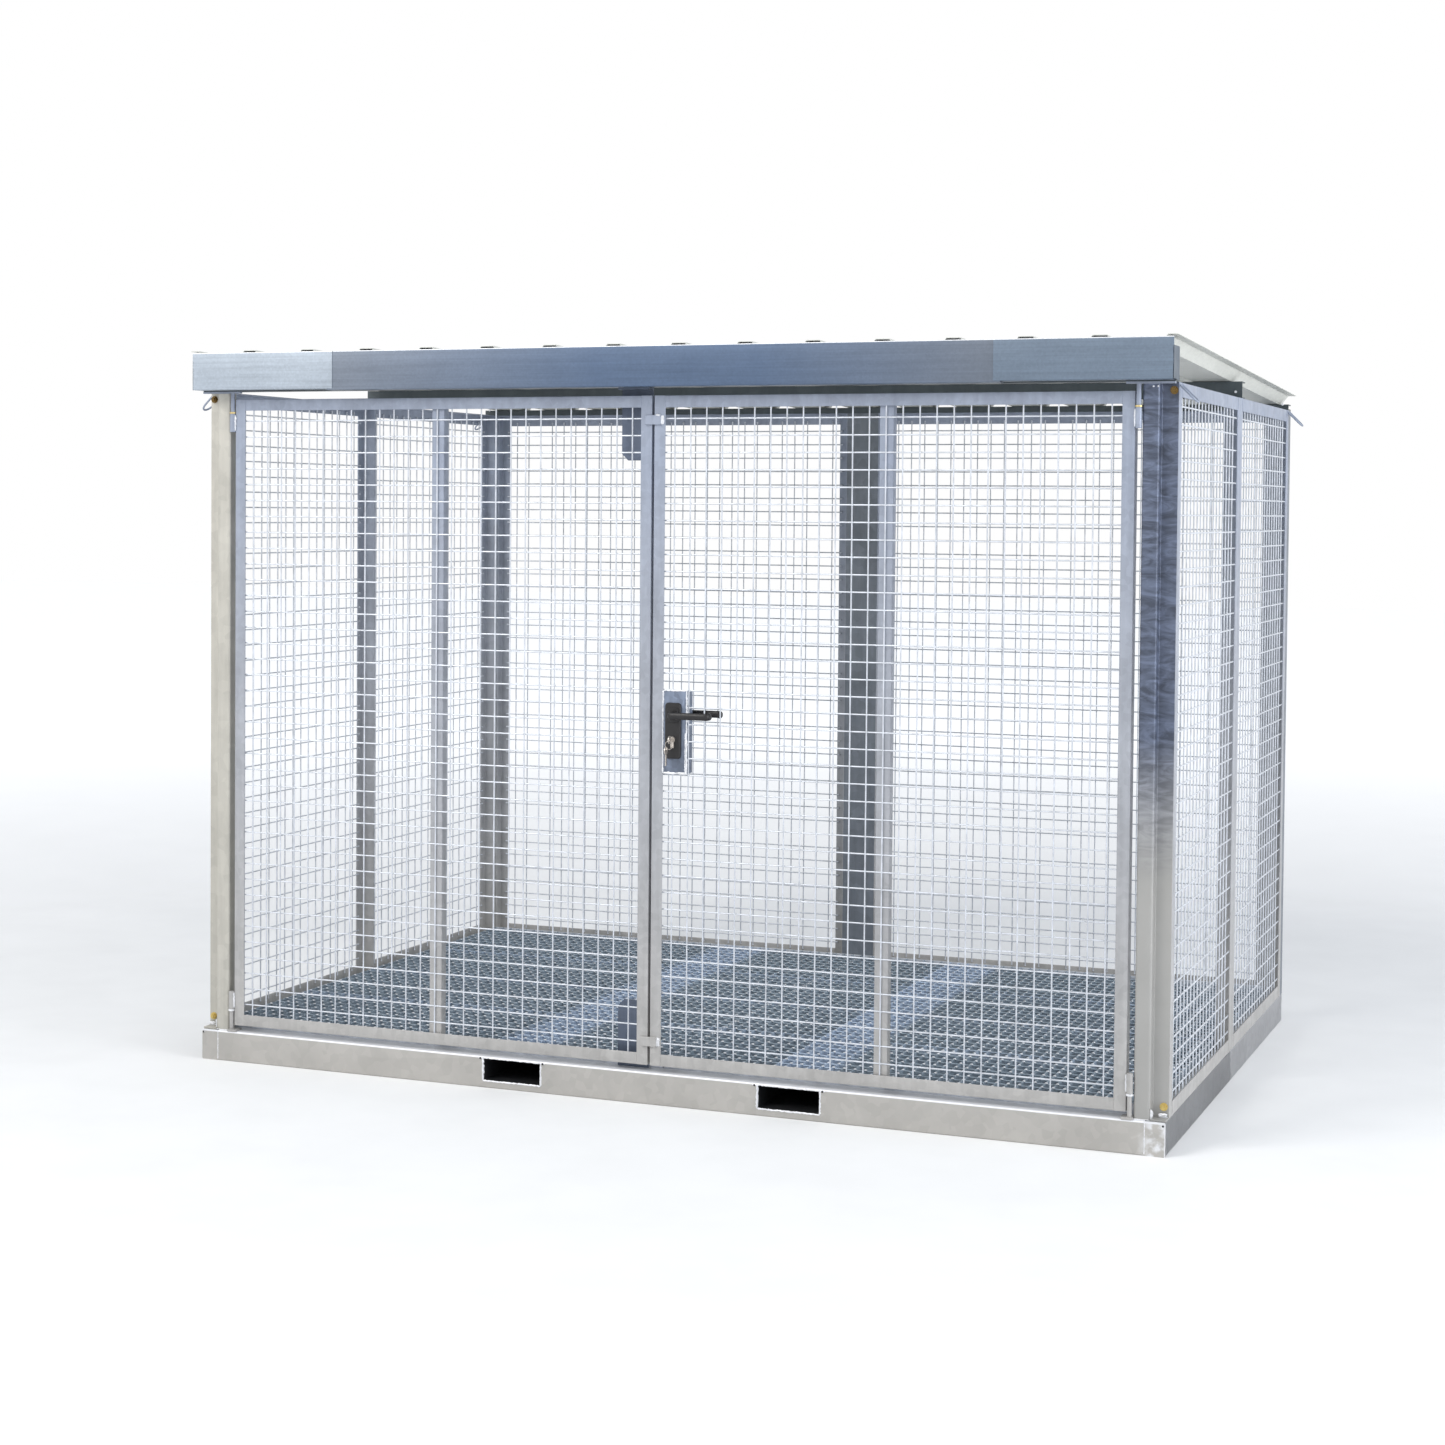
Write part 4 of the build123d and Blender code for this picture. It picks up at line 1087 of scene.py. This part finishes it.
def base_welds():
    """Bright beads round the fork openings and along the base's seams, and the vent holes as dark discs of
    painted shade.
    """
    weld = sizes().weld_radius
    beads = bmesh.new()
    holes = bmesh.new()
    x, y, z = spans("front_beam")
    back = spans("rear_beam")[1][1]
    lump = z[1] - POCKET_VENT_DROP
    for face, out in ((y[0], -1), (back, 1)):
        for i, (across, up) in enumerate(fork_openings()):
            corners = [(across[0], up[0]), (across[0], up[1]), (across[1], up[1]), (across[1], up[0])]
            for k, (start, stop) in enumerate(zip(corners, corners[1:] + corners[:1])):
                thick = weld * (1.35 if k == 0 else 1)
                bead(beads, (start[0], face, start[1]), (stop[0], face, stop[1]), thick, i * 4 + k)
            for spot in (across[0] - weld * 2.6, across[1] + weld * 2.6):
                bead(beads, (spot - VENT_LUMP, face, lump), (spot + VENT_LUMP, face, lump), weld, i)
                disc(holes, (spot, face + out * weld * 0.9, lump), (0, out, 0), weld * 1.1, VENT_DEPTH)
        height = z[1] - CORNER_VENT_DROP
        for side in (-1, 1):
            vent = side * (x[1] - CORNER_VENT_INSET)
            bead(beads, (vent - 0.005, face, height), (vent + 0.004, face, height), weld, 2)
            disc(holes, (vent, face + out * weld * 0.8, height), (0, out, 0), weld, VENT_DEPTH)
            seam = side * (x[1] - SIDE_FLANGE)
            bead(beads, (seam, face, z[0] + 0.004), (seam, face, z[1] - 0.003), weld * 0.5, side)
    piece(beads, "base_weld_beads", "weld zinc", ROOT)
    # Painted shade: the vent holes are not cut, only dark discs
    piece(holes, "base_vent_holes", "vent hole", ROOT)


def serrated_bar(x, y, z):
    """One bearing bar along Y with a toothed top, as a temporary object."""
    depth = sizes().tooth_depth
    count = int((y[1] - y[0]) / sizes().tooth_pitch)
    step = (y[1] - y[0]) / count
    line = []
    for i in range(count):
        start = y[0] + i * step
        line += [(start, z[1]), (start + step * 0.4, z[1]), (start + step * 0.7, z[1] - depth)]
    line.append((y[1], z[1]))
    mesh = bmesh.new()
    sides = []
    for side_x in x:
        tops = [mesh.verts.new((side_x, a, b)) for a, b in line]
        feet = [mesh.verts.new((side_x, a, z[0])) for a, b in line]
        sides.append((tops, feet))
        for i in range(len(line) - 1):
            mesh.faces.new((feet[i], feet[i + 1], tops[i + 1], tops[i]))
    (left_tops, left_feet), (right_tops, right_feet) = sides
    for i in range(len(line) - 1):
        mesh.faces.new((left_tops[i], left_tops[i + 1], right_tops[i + 1], right_tops[i]))
        mesh.faces.new((left_feet[i], left_feet[i + 1], right_feet[i + 1], right_feet[i]))
    for i in (0, -1):
        mesh.faces.new((left_feet[i], left_tops[i], right_tops[i], right_feet[i]))
    return temporary(mesh, "bearing bar")


def weld_nub_glints(x, places, top):
    """The small nubs where the cross rods are pressed into one bearing bar, in bright weld zinc as painted
    glints, as a temporary object.
    """
    mesh = bmesh.new()
    for y in places:
        bmesh.ops.create_cone(
            mesh, cap_ends=True, segments=6, radius1=NUB_FOOT, radius2=NUB_TOP, depth=NUB_HEIGHT,
            matrix=Matrix.Translation((x, y, top - NUB_HEIGHT / 2)),
        )
    return temporary(mesh, "weld nubs")


def floor_gratings():
    """Two welded gratings: toothed bearing bars, cross rods with their nubs as painted glints, and edge bars
    in a lighter zinc as painted light.
    """
    x, _, _ = spans("floor_grating")
    joint = sizes().grating_joint
    floor_grating("left", x[0], joint - GRATING_GAP / 2)
    floor_grating("right", joint + GRATING_GAP / 2, x[1])


def floor_grating(side, low, high):
    """The grating between two places across the floor."""
    _, y, z = spans("floor_grating")
    thick = sizes().bar_thickness
    rods = round((y[1] - y[0]) / sizes().rod_pitch)
    rod_step = (y[1] - y[0]) / rods
    rod_places = [y[0] + rod_step * (i + 1) for i in range(rods - 1)]
    bars = round((high - low) / sizes().bar_pitch)
    step = ((high - low - thick) / bars, 0, 0)
    mesh = bmesh.new()
    bar = serrated_bar((low, low + thick), (y[0] + EDGE_BAR, y[1] - EDGE_BAR), z)
    grow_row(mesh, bar, bars + 1, step, "grating zinc")
    grow(
        mesh, row_of_wires(), count=rods - 1, first=((low + high) / 2, rod_places[0], z[1] - CROSS_ROD_DROP),
        step=(0, rod_step, 0), direction=(1, 0, 0), length=high - low, radius=CROSS_ROD,
        weld_radius=CROSS_ROD, material=finish("grating zinc"),
    )
    edges = bmesh.new()
    for edge in ((y[0], y[0] + EDGE_BAR), (y[1] - EDGE_BAR, y[1])):
        block(edges, along_x, edge, z, (low, high), 0.0005)
    # Painted light: the edge bars take the bright wire zinc, lighter than the grating, for the light on them
    # under the doors
    piece(edges, f"{side}_grating_edges", "bright wire", ROOT)
    replaced = ("floor_grating",) if side == "left" else ()
    piece(mesh, f"{side}_bar_grating", "grating zinc", ROOT, replaced)
    # Painted glints: bright weld nubs at every crossing
    nubs = bmesh.new()
    grow_row(nubs, weld_nub_glints(low + thick / 2, rod_places, z[1]), bars + 1, step, "weld zinc")
    piece(nubs, f"{side}_grating_nubs", "weld zinc", ROOT)


def wall_frames():
    """Side and rear wall frames of rolled angles, and their welded mesh."""
    nubs = bmesh.new()
    for side, sign in SIDES:
        wires = bmesh.new()
        middle = sum(spans(f"{side}_wall_mesh")[0]) / 2
        for place in ("front", "rear"):
            node_name = f"{side}_wall_{place}_frame"
            x, y, z = spans(node_name)
            outer = x[0] if sign < 0 else x[1]
            mesh = bmesh.new()
            angle_frame(mesh, y, z, WALL_FLANGE, x[1] - x[0], along_x, outer, -sign)
            piece(mesh, f"{side}_wall_{place}_angles", "galvanised", ROOT, (node_name,))
            opening = inset((y, z), WALL_FLANGE)
            wire_panel(wires, 1, *opening, middle, -sign)
            crossing_nubs(nubs, 1, *opening, middle)
        piece(wires, f"{side}_wall_wires", "bright wire", ROOT, (f"{side}_wall_mesh",))
    wires = bmesh.new()
    middle = sum(spans("rear_wall_mesh")[1]) / 2
    for side, _ in SIDES:
        node_name = f"rear_wall_{side}_frame"
        x, y, z = spans(node_name)
        mesh = bmesh.new()
        angle_frame(mesh, x, z, WALL_FLANGE, y[1] - y[0], along_y, y[1], -1)
        piece(mesh, f"rear_wall_{side}_angles", "galvanised", ROOT, (node_name,))
        opening = inset((x, z), WALL_FLANGE)
        wire_panel(wires, 0, *opening, middle, 1)
        crossing_nubs(nubs, 0, *opening, middle)
    piece(wires, "rear_wall_wires", "bright wire", ROOT, ("rear_wall_mesh",))
    piece(nubs, "wall_mesh_nubs", "weld zinc", ROOT)
    paint("rear zinc", "rear_posts")


def front_posts():
    """Folded front posts, each with a foot tab and a bright weld patch at its foot."""
    x, y, z = spans("right_front_post")
    face = y[0] + FOOT_TAB_PROUD
    rear_face = y[1] - POST_SHEET
    web = x[1] - POST_WEB_INSET
    path = [(x[0], rear_face), (x[0], face), (web, face), (web, rear_face), (x[1], rear_face)]
    section = folded(path, POST_SHEET, sizes().fold_radius)
    beads = bmesh.new()
    for side, sign in SIDES:
        mesh = bmesh.new()
        prism(mesh, [(sign * p[0], p[1]) for p in section], along_z, *z)
        tab = ((sign * web, sign * x[1]), (rear_face - FOOT_TAB, rear_face))
        block(mesh, along_z, *tab, (z[0], z[0] + POST_SHEET), 0.002)
        node_name = f"{side}_front_post"
        piece(mesh, f"{side}_folded_post", f"{side} post", ROOT, (node_name,))
        for i in range(FOOT_WELDS):
            low = Vector((sign * (web + 0.001), face + 0.004 + FOOT_WELD_PITCH * i, z[0] + POST_SHEET))
            high = low + Vector((sign * 0.001, 0, FOOT_WELD_HEIGHT - FOOT_WELD_FALL * i))
            bead(beads, low, high, POST_WELD, i)
        foot = z[0] + 0.001
        bead(beads, (sign * web, face, foot), (sign * x[0], face, foot), POST_SEAM, sign)
    for step in POST_PLUG_STEPS:
        spot = (x[0] + POST_PLUG_INSET + step, face, z[1] - POST_PLUG_DROP)
        disc(beads, spot, (0, -1, 0), POST_PLUG_RADIUS, 0.0015)
    piece(beads, "post_weld_beads", "weld zinc", ROOT)


def hex_bolt(mesh, x, face, height):
    """A bolt head that faces forward, with its washer and the bolt's end."""
    washer = face - BOLT_WASHER
    head = washer - BOLT_HEAD_DEPTH
    spot = (x, height)
    prism(mesh, circle(spot, BOLT_HEAD * 1.25, 24), along_y, washer, face)
    prism(mesh, circle(spot, BOLT_HEAD, 6), along_y, head, washer)
    prism(mesh, circle(spot, BOLT_HEAD * 0.55, 16), along_y, head - BOLT_END, head)


def bolts():
    """Hexagon bolts through the posts' rear flanges, above the foot tabs and at the tops."""
    x, y, z = spans("right_front_post")
    face = y[1] - POST_SHEET
    feet = bmesh.new()
    tops = bmesh.new()
    lumps = bmesh.new()
    for side in (-1, 1):
        foot_x = side * (x[1] - FOOT_BOLT_INSET)
        hex_bolt(feet, foot_x, face, z[0] + FOOT_BOLT_RISE)
        hex_bolt(tops, side * (x[1] - TOP_BOLT_INSET), face, z[1] - TOP_BOLT_DROP)
        for k in range(3):
            lift = 0.002 + 0.004 * k
            deep = face - 0.006 - 0.002 * k
            start = Vector((foot_x - FOOT_LUMP_INSET, deep, z[0] + POST_SHEET + lift))
            bead(lumps, start, start + Vector((FOOT_LUMP_REACH, 0, 0)), FOOT_LUMP, k)
    piece(feet, "foot_bolt_heads", "yellow zinc", ROOT, ("corner_bolts",))
    piece(tops, "top_bolt_heads", "dark brass", ROOT)
    piece(lumps, "foot_tab_welds", "weld zinc", ROOT)


def circle(centre, radius, sides):
    """Points of a circle, or of a hexagon with six sides."""
    turns = [2 * math.pi * k / sides for k in range(sides)]
    return [(centre[0] + radius * math.cos(turn), centre[1] + radius * math.sin(turn)) for turn in turns]


def roof():
    """Roof sheets, purlins and the folded fascia with its closed ends in painted shade and its rolled top
    edge in bright zinc as a painted highlight.
    """
    paint("roof sheet", "left_roof_sheet", "middle_roof_sheet", "right_roof_sheet")
    paint("shaded zinc", "front_purlin", "middle_purlin", "rear_purlin")
    edges = bmesh.new()
    ends = bmesh.new()
    for name in ("left", "middle", "right"):
        x, y, z = spans(f"{name}_fascia")
        path = [(y[0] + FASCIA_LIP, z[1]), (y[0], z[1]), (y[0], z[0]), (y[1], z[0])]
        mesh = bmesh.new()
        prism(mesh, folded(path, FASCIA_SHEET, sizes().fold_radius / 2), along_x, *x)
        piece(mesh, f"{name}_fascia_sheet", f"{name} fascia", ROOT, (f"{name}_fascia",))
        # Painted highlight: a thin bright roll along the rounded fold stands in for the sunlit top edge
        roll = FASCIA_SHEET * 0.9
        points = [Vector((t, y[0] + roll, z[1] - roll)) for t in x]
        tube_path(edges, points, [roll] * 2, 10)
    for side, sign in SIDES:
        x, y, z = spans(f"{side}_fascia")
        outer = x[0] if sign < 0 else x[1]
        depth = (y[0], y[0] + FASCIA_END_RETURN)
        height = (z[0], z[0] + FASCIA_END_HEIGHT)
        block(ends, along_x, depth, height, (outer, outer - sign * FASCIA_SHEET), 0.001)
    piece(edges, "fascia_rolled_edge", "weld zinc", ROOT)
    # Painted shade: the closed ends take the dark fascia end tone
    piece(ends, "fascia_closed_ends", "fascia end", ROOT)
    rivets = bmesh.new()
    for name in ("middle_purlin", "rear_purlin"):
        x, y, z = spans(name)
        for side in (-1, 1):
            spot = (side * (x[1] - RIVET_INSET), y[0], z[0] + RIVET_INSET)
            disc(rivets, spot, (0, -1, 0), RIVET_RADIUS, RIVET_HEIGHT)
    piece(rivets, "purlin_rivets", "weld zinc", ROOT)


def lifting_loops():
    """Round bar loops sloping out and down at the four top corners, welded to the wall frames."""
    y = spans("lifting_loops")[1]
    x, _, z = spans("right_wall_front_frame")
    half = LOOP_WIDTH / 2
    mesh = bmesh.new()
    for side in (-1, 1):
        away = Vector((side, 0, -1)).normalized()
        run = LOOP_REACH * math.sqrt(2) - half
        for middle in (y[0] + LOOP_BAR + half, y[1] - LOOP_BAR - half):
            root = Vector((side * x[1], middle, z[1] - LOOP_TOP_DROP))
            across = Vector((0, half, 0))
            path = [root - across - away * LOOP_SINK]
            for k in range(LOOP_STEPS + 1):
                turn = math.pi * k / LOOP_STEPS
                path.append(root + away * (run + half * math.sin(turn)) - across * math.cos(turn))
            path.append(root + across - away * LOOP_SINK)
            tube_path(mesh, path, [LOOP_BAR] * len(path), 12, 1.0, away.cross(across).normalized())
            reach = Vector((0, 0.005, 0))
            for foot in (root - across, root + across):
                bead(mesh, foot - reach, foot + reach, LOOP_WELD, side + middle)
    piece(mesh, "crane_loops", "galvanised", ROOT, ("lifting_loops",))


def ring_profile(bore, edge, low, high):
    """Half the section of a ring with bevelled outer edges."""
    inner = edge - RING_BEVEL
    outside = [(inner, low), (edge, low + RING_BEVEL), (edge, high - RING_BEVEL), (inner, high)]
    return [(bore, low), *outside, (bore, high)]


def hinges():
    """Hinge plates and pins, turned knuckles with their welds, and the washers."""
    paint("galvanised", "hinge_pins")
    paint("dark zinc", "door_stops")
    x, y, z = spans("hinge_washers")
    hinge_x = x[1] - WASHER_RADIUS
    hinge_y = sum(y) / 2
    rows = (("top", "brass", z[1] - WASHER_HEIGHT), ("foot", "weld zinc", z[0]))
    for name, finish_name, low in rows:
        mesh = bmesh.new()
        profile = ring_profile(PIN_RADIUS, WASHER_RADIUS, low, low + WASHER_HEIGHT)
        for side in (-1, 1):
            lathe(mesh, profile, side * hinge_x, hinge_y)
        replaced = ("hinge_washers",) if name == "top" else ()
        piece(mesh, f"{name}_hinge_washers", finish_name, ROOT, replaced)
    for side, sign in SIDES:
        _, _, z = spans(f"{side}_door_knuckles")
        mesh = bmesh.new()
        beads = bmesh.new()
        for low in (z[0], z[1] - KNUCKLE_LENGTH):
            high = low + KNUCKLE_LENGTH
            lathe(mesh, ring_profile(KNUCKLE_BORE, KNUCKLE_RADIUS, low, high), sign * hinge_x, hinge_y)
            weld_x = sign * (hinge_x - WASHER_RADIUS)
            for deep in (-0.002, 0.004):
                end = (weld_x, hinge_y + deep, high - 0.004)
                bead(beads, (weld_x, hinge_y + deep, low + 0.004), end, HINGE_WELD, low + deep)
        node_name = f"{side}_door_knuckles"
        piece(mesh, f"{side}_hinge_barrels", "galvanised", f"{side}_door", (node_name,))
        piece(beads, f"{side}_hinge_welds", "weld zinc", f"{side}_door")


def door_leaves():
    """Door frames of rolled angles, stiffeners, meshes and the lap tabs."""
    lock_x, _, lock_z = spans("lock_box")
    left_x, y, z = spans("left_door_frame")
    for side, sign in SIDES:
        body = f"{side}_door"
        x = left_x if sign < 0 else (-left_x[1], -left_x[0])
        leaf = bmesh.new()
        angle_frame(leaf, x, z, DOOR_FLANGE, y[1] - y[0], along_y, y[0], 1)
        piece(leaf, f"{side}_door_angles", "galvanised", body, (f"{side}_door_frame",))
        wires = bmesh.new()
        cut = (lock_x, lock_z) if sign > 0 else None
        middle = sum(spans(f"{side}_door_mesh")[1]) / 2
        opening = inset((x, z), DOOR_FLANGE)
        wire_panel(wires, 0, *opening, middle, -1, cut)
        nubs = bmesh.new()
        crossing_nubs(nubs, 0, *opening, middle)
        piece(nubs, f"{side}_door_nubs", "weld zinc", body)
        piece(wires, f"{side}_door_wires", "bright wire", body, (f"{side}_door_mesh",))
        post_x, post_y, post_z = spans(f"{side}_door_stiffener")
        post = bmesh.new()
        block(post, along_z, post_x, post_y, post_z, 0.003)
        node_name = f"{side}_door_stiffener"
        piece(post, f"{side}_door_upright", "galvanised", body, (node_name,))
    lap_tabs()


def lap_tabs():
    """Two flat tabs welded to the right leaf that reach over the left one."""
    x, y, _ = spans("right_door_frame")
    left_x, left_y, z = spans("left_door_frame")
    tabs = bmesh.new()
    beads = bmesh.new()
    face = left_y[0]
    for top in (z[1] - TAB_INSET, z[0] + TAB_INSET + TAB_HEIGHT):
        bottom = top - TAB_HEIGHT

        def outline(by):
            return rectangle(*inset(((x[0], TAB_RIGHT), (bottom, top)), by), TAB_CORNER, 3)

        bevelled(tabs, outline, along_y, y[0] + TAB_PLATE, y[0], TAB_BEVEL)
        block(tabs, along_y, (-left_x[1], TAB_RIGHT), (bottom, top), (y[0] + TAB_PLATE, face))
        for k in range(3):
            across = TAB_RIGHT + 0.001 + TAB_WELD_PITCH * k
            high = (across, face - 0.001, top - 0.001)
            thick = TAB_WELD - TAB_WELD_FALL * k
            bead(beads, (across, face - 0.001, bottom + 0.001), high, thick, k + top)
    corner = Vector((TAB_RIGHT, y[0] + 0.001, z[1] - TAB_INSET))
    bead(beads, corner, corner - Vector((TAB_SEAM, 0, 0)), TAB_SEAM_WELD, 3)
    piece(tabs, "lap_tab_plates", "galvanised", RIGHT_DOOR)
    piece(beads, "lap_tab_welds", "weld zinc", RIGHT_DOOR)


def lock():
    """Lock box with its welds, handle plates, cylinder and keys."""
    paint("lock zinc", "lock_box")
    paint("key steel", "lock_cylinder", "key")
    x, y, z = spans("lock_box")
    weld = sizes().weld_radius
    beads = bmesh.new()
    right = x[1] - 0.002
    second = x[1] - 0.006
    bead(beads, (x[0], y[0], z[0]), (x[0], y[0], z[1]), weld * 0.9, 1)
    bead(beads, (x[0], y[0], z[0]), (x[1], y[0], z[0]), weld * 1.3, 2)
    bead(beads, (x[0], y[0], z[1]), (x[1], y[0], z[1]), weld * 0.9, 3)
    bead(beads, (right, y[0], z[0]), (right, y[0], z[1]), weld, 4)
    bead(beads, (second, y[0], z[0]), (second, y[0], z[0] + LOCK_SECOND_BEAD), weld * 0.7, 5)
    piece(beads, "lock_box_welds", "weld zinc", RIGHT_DOOR)
    plates = bmesh.new()
    plate_x, plate_y, plate_z = spans("escutcheons")
    centre = (sum(plate_x) / 2, sum(spans("handle")[2]) / 2)

    def plate(by):
        return rectangle(*inset((plate_x, plate_z), by), PLATE_CORNER - by, 5)

    def hub(by):
        hub_x = (centre[0] - HUB_HALF_WIDTH, centre[0] + HUB_HALF_WIDTH)
        hub_z = (centre[1] - HUB_HALF_HEIGHT, centre[1] + HUB_HALF_HEIGHT)
        return rectangle(*inset((hub_x, hub_z), by), HUB_CORNER - by, 5)

    for back, front in ((y[0], plate_y[0]), (y[1], plate_y[1])):
        out = math.copysign(1, front - back)
        bevelled(plates, plate, along_y, back, front, PLATE_BEVEL)
        bevelled(plates, hub, along_y, front - out * 0.001, front + out * HUB_PROUD, HUB_BEVEL)
    piece(plates, "handle_plates", "black plastic", RIGHT_DOOR, ("escutcheons",))


def levers():
    """The smooth bent levers on both sides of the lock, and their collars."""
    x, y, z = spans("handle")
    _, plate_y, _ = spans("escutcheons")
    hub_x = x[0] + LEVER_RADIUS
    height = sum(z) / 2
    mesh = bmesh.new()
    for root, tip in zip(plate_y, y):
        out = math.copysign(1, tip - root)
        grip = tip - out * LEVER_RADIUS * 0.7
        start = root + out * 0.003
        end_x = x[1] - LEVER_END_INSET
        corners = [
            (hub_x, start, height),
            (hub_x, grip, height),
            (end_x, grip, height),
            (end_x, grip - out * LEVER_RETURN, height),
        ]
        path = smooth_path(corners, LEVER_BEND, 7)
        tube_path(mesh, path, [LEVER_RADIUS] * len(path), 18, LEVER_SQUASH)
        collar = (hub_x, root + out * 0.0005, height)
        disc(mesh, collar, (0, out, 0), LEVER_RADIUS * 1.35, COLLAR_DEPTH, 28)
    piece(mesh, "door_levers", "black plastic", HANDLE, ("handle",))


class CAGE_OT_base(bpy.types.Operator):
    """Build the base channels, their welds and the floor gratings"""

    bl_idname = "cage.base"
    bl_label = "Base and floor"

    def execute(self, context):
        base_channels()
        base_welds()
        floor_gratings()
        return {"FINISHED"}


class CAGE_OT_walls(bpy.types.Operator):
    """Build the wall frames with their welded mesh, the front posts and the lifting loops"""

    bl_idname = "cage.walls"
    bl_label = "Walls and posts"

    def execute(self, context):
        wall_frames()
        front_posts()
        bolts()
        lifting_loops()
        return {"FINISHED"}


class CAGE_OT_roof(bpy.types.Operator):
    """Finish the roof sheets and build the folded fascia"""

    bl_idname = "cage.roof"
    bl_label = "Roof and fascia"

    def execute(self, context):
        roof()
        return {"FINISHED"}


class CAGE_OT_doors(bpy.types.Operator):
    """Build the door leaves, their hinges and the lap tabs"""

    bl_idname = "cage.doors"
    bl_label = "Doors and hinges"

    def execute(self, context):
        door_leaves()
        hinges()
        return {"FINISHED"}


class CAGE_OT_lock(bpy.types.Operator):
    """Build the lock with its handle plates, levers and key"""

    bl_idname = "cage.lock"
    bl_label = "Lock and handle"

    def execute(self, context):
        lock()
        levers()
        return {"FINISHED"}


class CAGE_OT_stage(bpy.types.Operator):
    """Set up the floor, the light and the camera at the photograph's angle"""

    bl_idname = "cage.stage"
    bl_label = "Floor, light and camera"

    def execute(self, context):
        scene = context.scene
        stage_floor(scene)
        stage_light(scene)
        stage_camera(scene)
        scene.view_settings.view_transform = "Standard"
        return {"FINISHED"}


def stage_floor(scene):
    """A wide pale floor that fades into the white behind it."""
    mesh = bmesh.new()
    bmesh.ops.create_grid(mesh, x_segments=1, y_segments=1, size=40)
    data = bpy.data.meshes.new("studio_floor")
    mesh.to_mesh(data)
    mesh.free()
    made, tree, shader = material("studio floor")
    grain = spread(tree, noise(tree, object_place(tree), 3, 3), 0.98, 1.02)
    tree.links.new(scaled(tree, grain, colours().floor), shader.inputs["Base Color"])
    shader.inputs["Roughness"].default_value = 0.9
    away = node(tree, "ShaderNodeVectorMath", operation="LENGTH")
    tree.links.new(object_place(tree), away.inputs[0])
    shader.inputs["Emission Color"].default_value = (1, 1, 1, 1)
    glow = spread(tree, away.outputs["Value"], *FLOOR_GLOW, *FLOOR_FADE)
    tree.links.new(glow, shader.inputs["Emission Strength"])
    data.materials.append(made)
    floor = bpy.data.objects.new("studio_floor", data)
    scene.collection.objects.link(floor)


def lamp(scene, name, place, target, width, power, tone):
    """A wide square lamp that shines at a target."""
    data = bpy.data.lights.new(name, "AREA")
    data.size = width
    data.energy = power
    data.color = tone
    made = bpy.data.objects.new(name, data)
    made.location = place
    made.rotation_euler = (Vector(target) - Vector(place)).to_track_quat("-Z", "Y").to_euler()
    scene.collection.objects.link(made)


def stage_light(scene):
    """An even pale world, white behind the object, and two wide lamps."""
    world = bpy.data.worlds.new("studio")
    world.use_nodes = True
    tree = world.node_tree
    background = tree.nodes["Background"]
    rays = node(tree, "ShaderNodeLightPath").outputs
    seen = maths(tree, "MAXIMUM", rays["Is Camera Ray"], rays["Is Glossy Ray"])
    tone = blend_colours(tree, seen, (0.56, 0.59, 0.64), (1, 1, 1))
    tree.links.new(tone, background.inputs["Color"])
    background.inputs["Strength"].default_value = 1
    scene.world = world
    middle = (0, 0, 1)
    lamp(scene, "key", (-4.5, -7.5, 7.5), middle, 5, 560, (1.0, 0.985, 0.96))
    lamp(scene, "fill", (8.5, -2.0, 3.6), middle, 5, 420, (0.95, 0.97, 1.0))


def stage_camera(scene):
    """The camera at the photograph's place, angle and lens."""
    yaw, pitch, roll = (math.radians(a) for a in (CAMERA_YAW, CAMERA_PITCH, CAMERA_ROLL))
    ahead = Vector((math.sin(yaw) * math.cos(pitch), math.cos(yaw) * math.cos(pitch), math.sin(pitch)))
    level = Vector((math.cos(yaw), -math.sin(yaw), 0))
    down = ahead.cross(level)
    right = level * math.cos(roll) + down * math.sin(roll)
    low = down * math.cos(roll) - level * math.sin(roll)
    data = bpy.data.cameras.new("photo camera")
    data.lens = CAMERA_LENS
    data.sensor_width = 36
    data.shift_y = CAMERA_SHIFT
    data.clip_end = 200
    made = bpy.data.objects.new("photo camera", data)
    turn = Matrix((right, -low, -ahead)).transposed().to_4x4()
    made.matrix_world = Matrix.Translation(CAMERA_PLACE) @ turn
    scene.collection.objects.link(made)
    scene.camera = made


class CAGE_PT_panel(bpy.types.Panel):
    """Lists the cage's sizes, colours and building steps"""

    bl_idname = "CAGE_PT_panel"
    bl_label = "Gas Cylinder Cage"
    bl_space_type = "VIEW_3D"
    bl_region_type = "UI"
    bl_category = "Cage"

    def draw(self, context):
        for step in STEPS:
            self.layout.operator(step.bl_idname)
        for group in (context.scene.cage_sizes, context.scene.cage_colours):
            for name in group.bl_rna.properties.keys():
                if name not in ("rna_type", "name"):
                    self.layout.prop(group, name)


STEPS = (CAGE_OT_base, CAGE_OT_walls, CAGE_OT_roof, CAGE_OT_doors, CAGE_OT_lock, CAGE_OT_stage)
CLASSES = (CageSizes, CageColours, *STEPS, CAGE_PT_panel)


def register():
    """Adds the add-on's classes and settings."""
    for cls in CLASSES:
        bpy.utils.register_class(cls)
    bpy.types.Scene.cage_sizes = PointerProperty(type=CageSizes)
    bpy.types.Scene.cage_colours = PointerProperty(type=CageColours)


def unregister():
    """Takes the add-on's classes and settings away."""
    del bpy.types.Scene.cage_colours
    del bpy.types.Scene.cage_sizes
    for cls in reversed(CLASSES):
        bpy.utils.unregister_class(cls)


def main():
    """Builds the cage step by step."""
    register()
    bpy.ops.cage.base()
    bpy.ops.cage.walls()
    bpy.ops.cage.roof()
    bpy.ops.cage.doors()
    bpy.ops.cage.lock()
    bpy.ops.cage.stage()


if __name__ == "__main__":
    main()
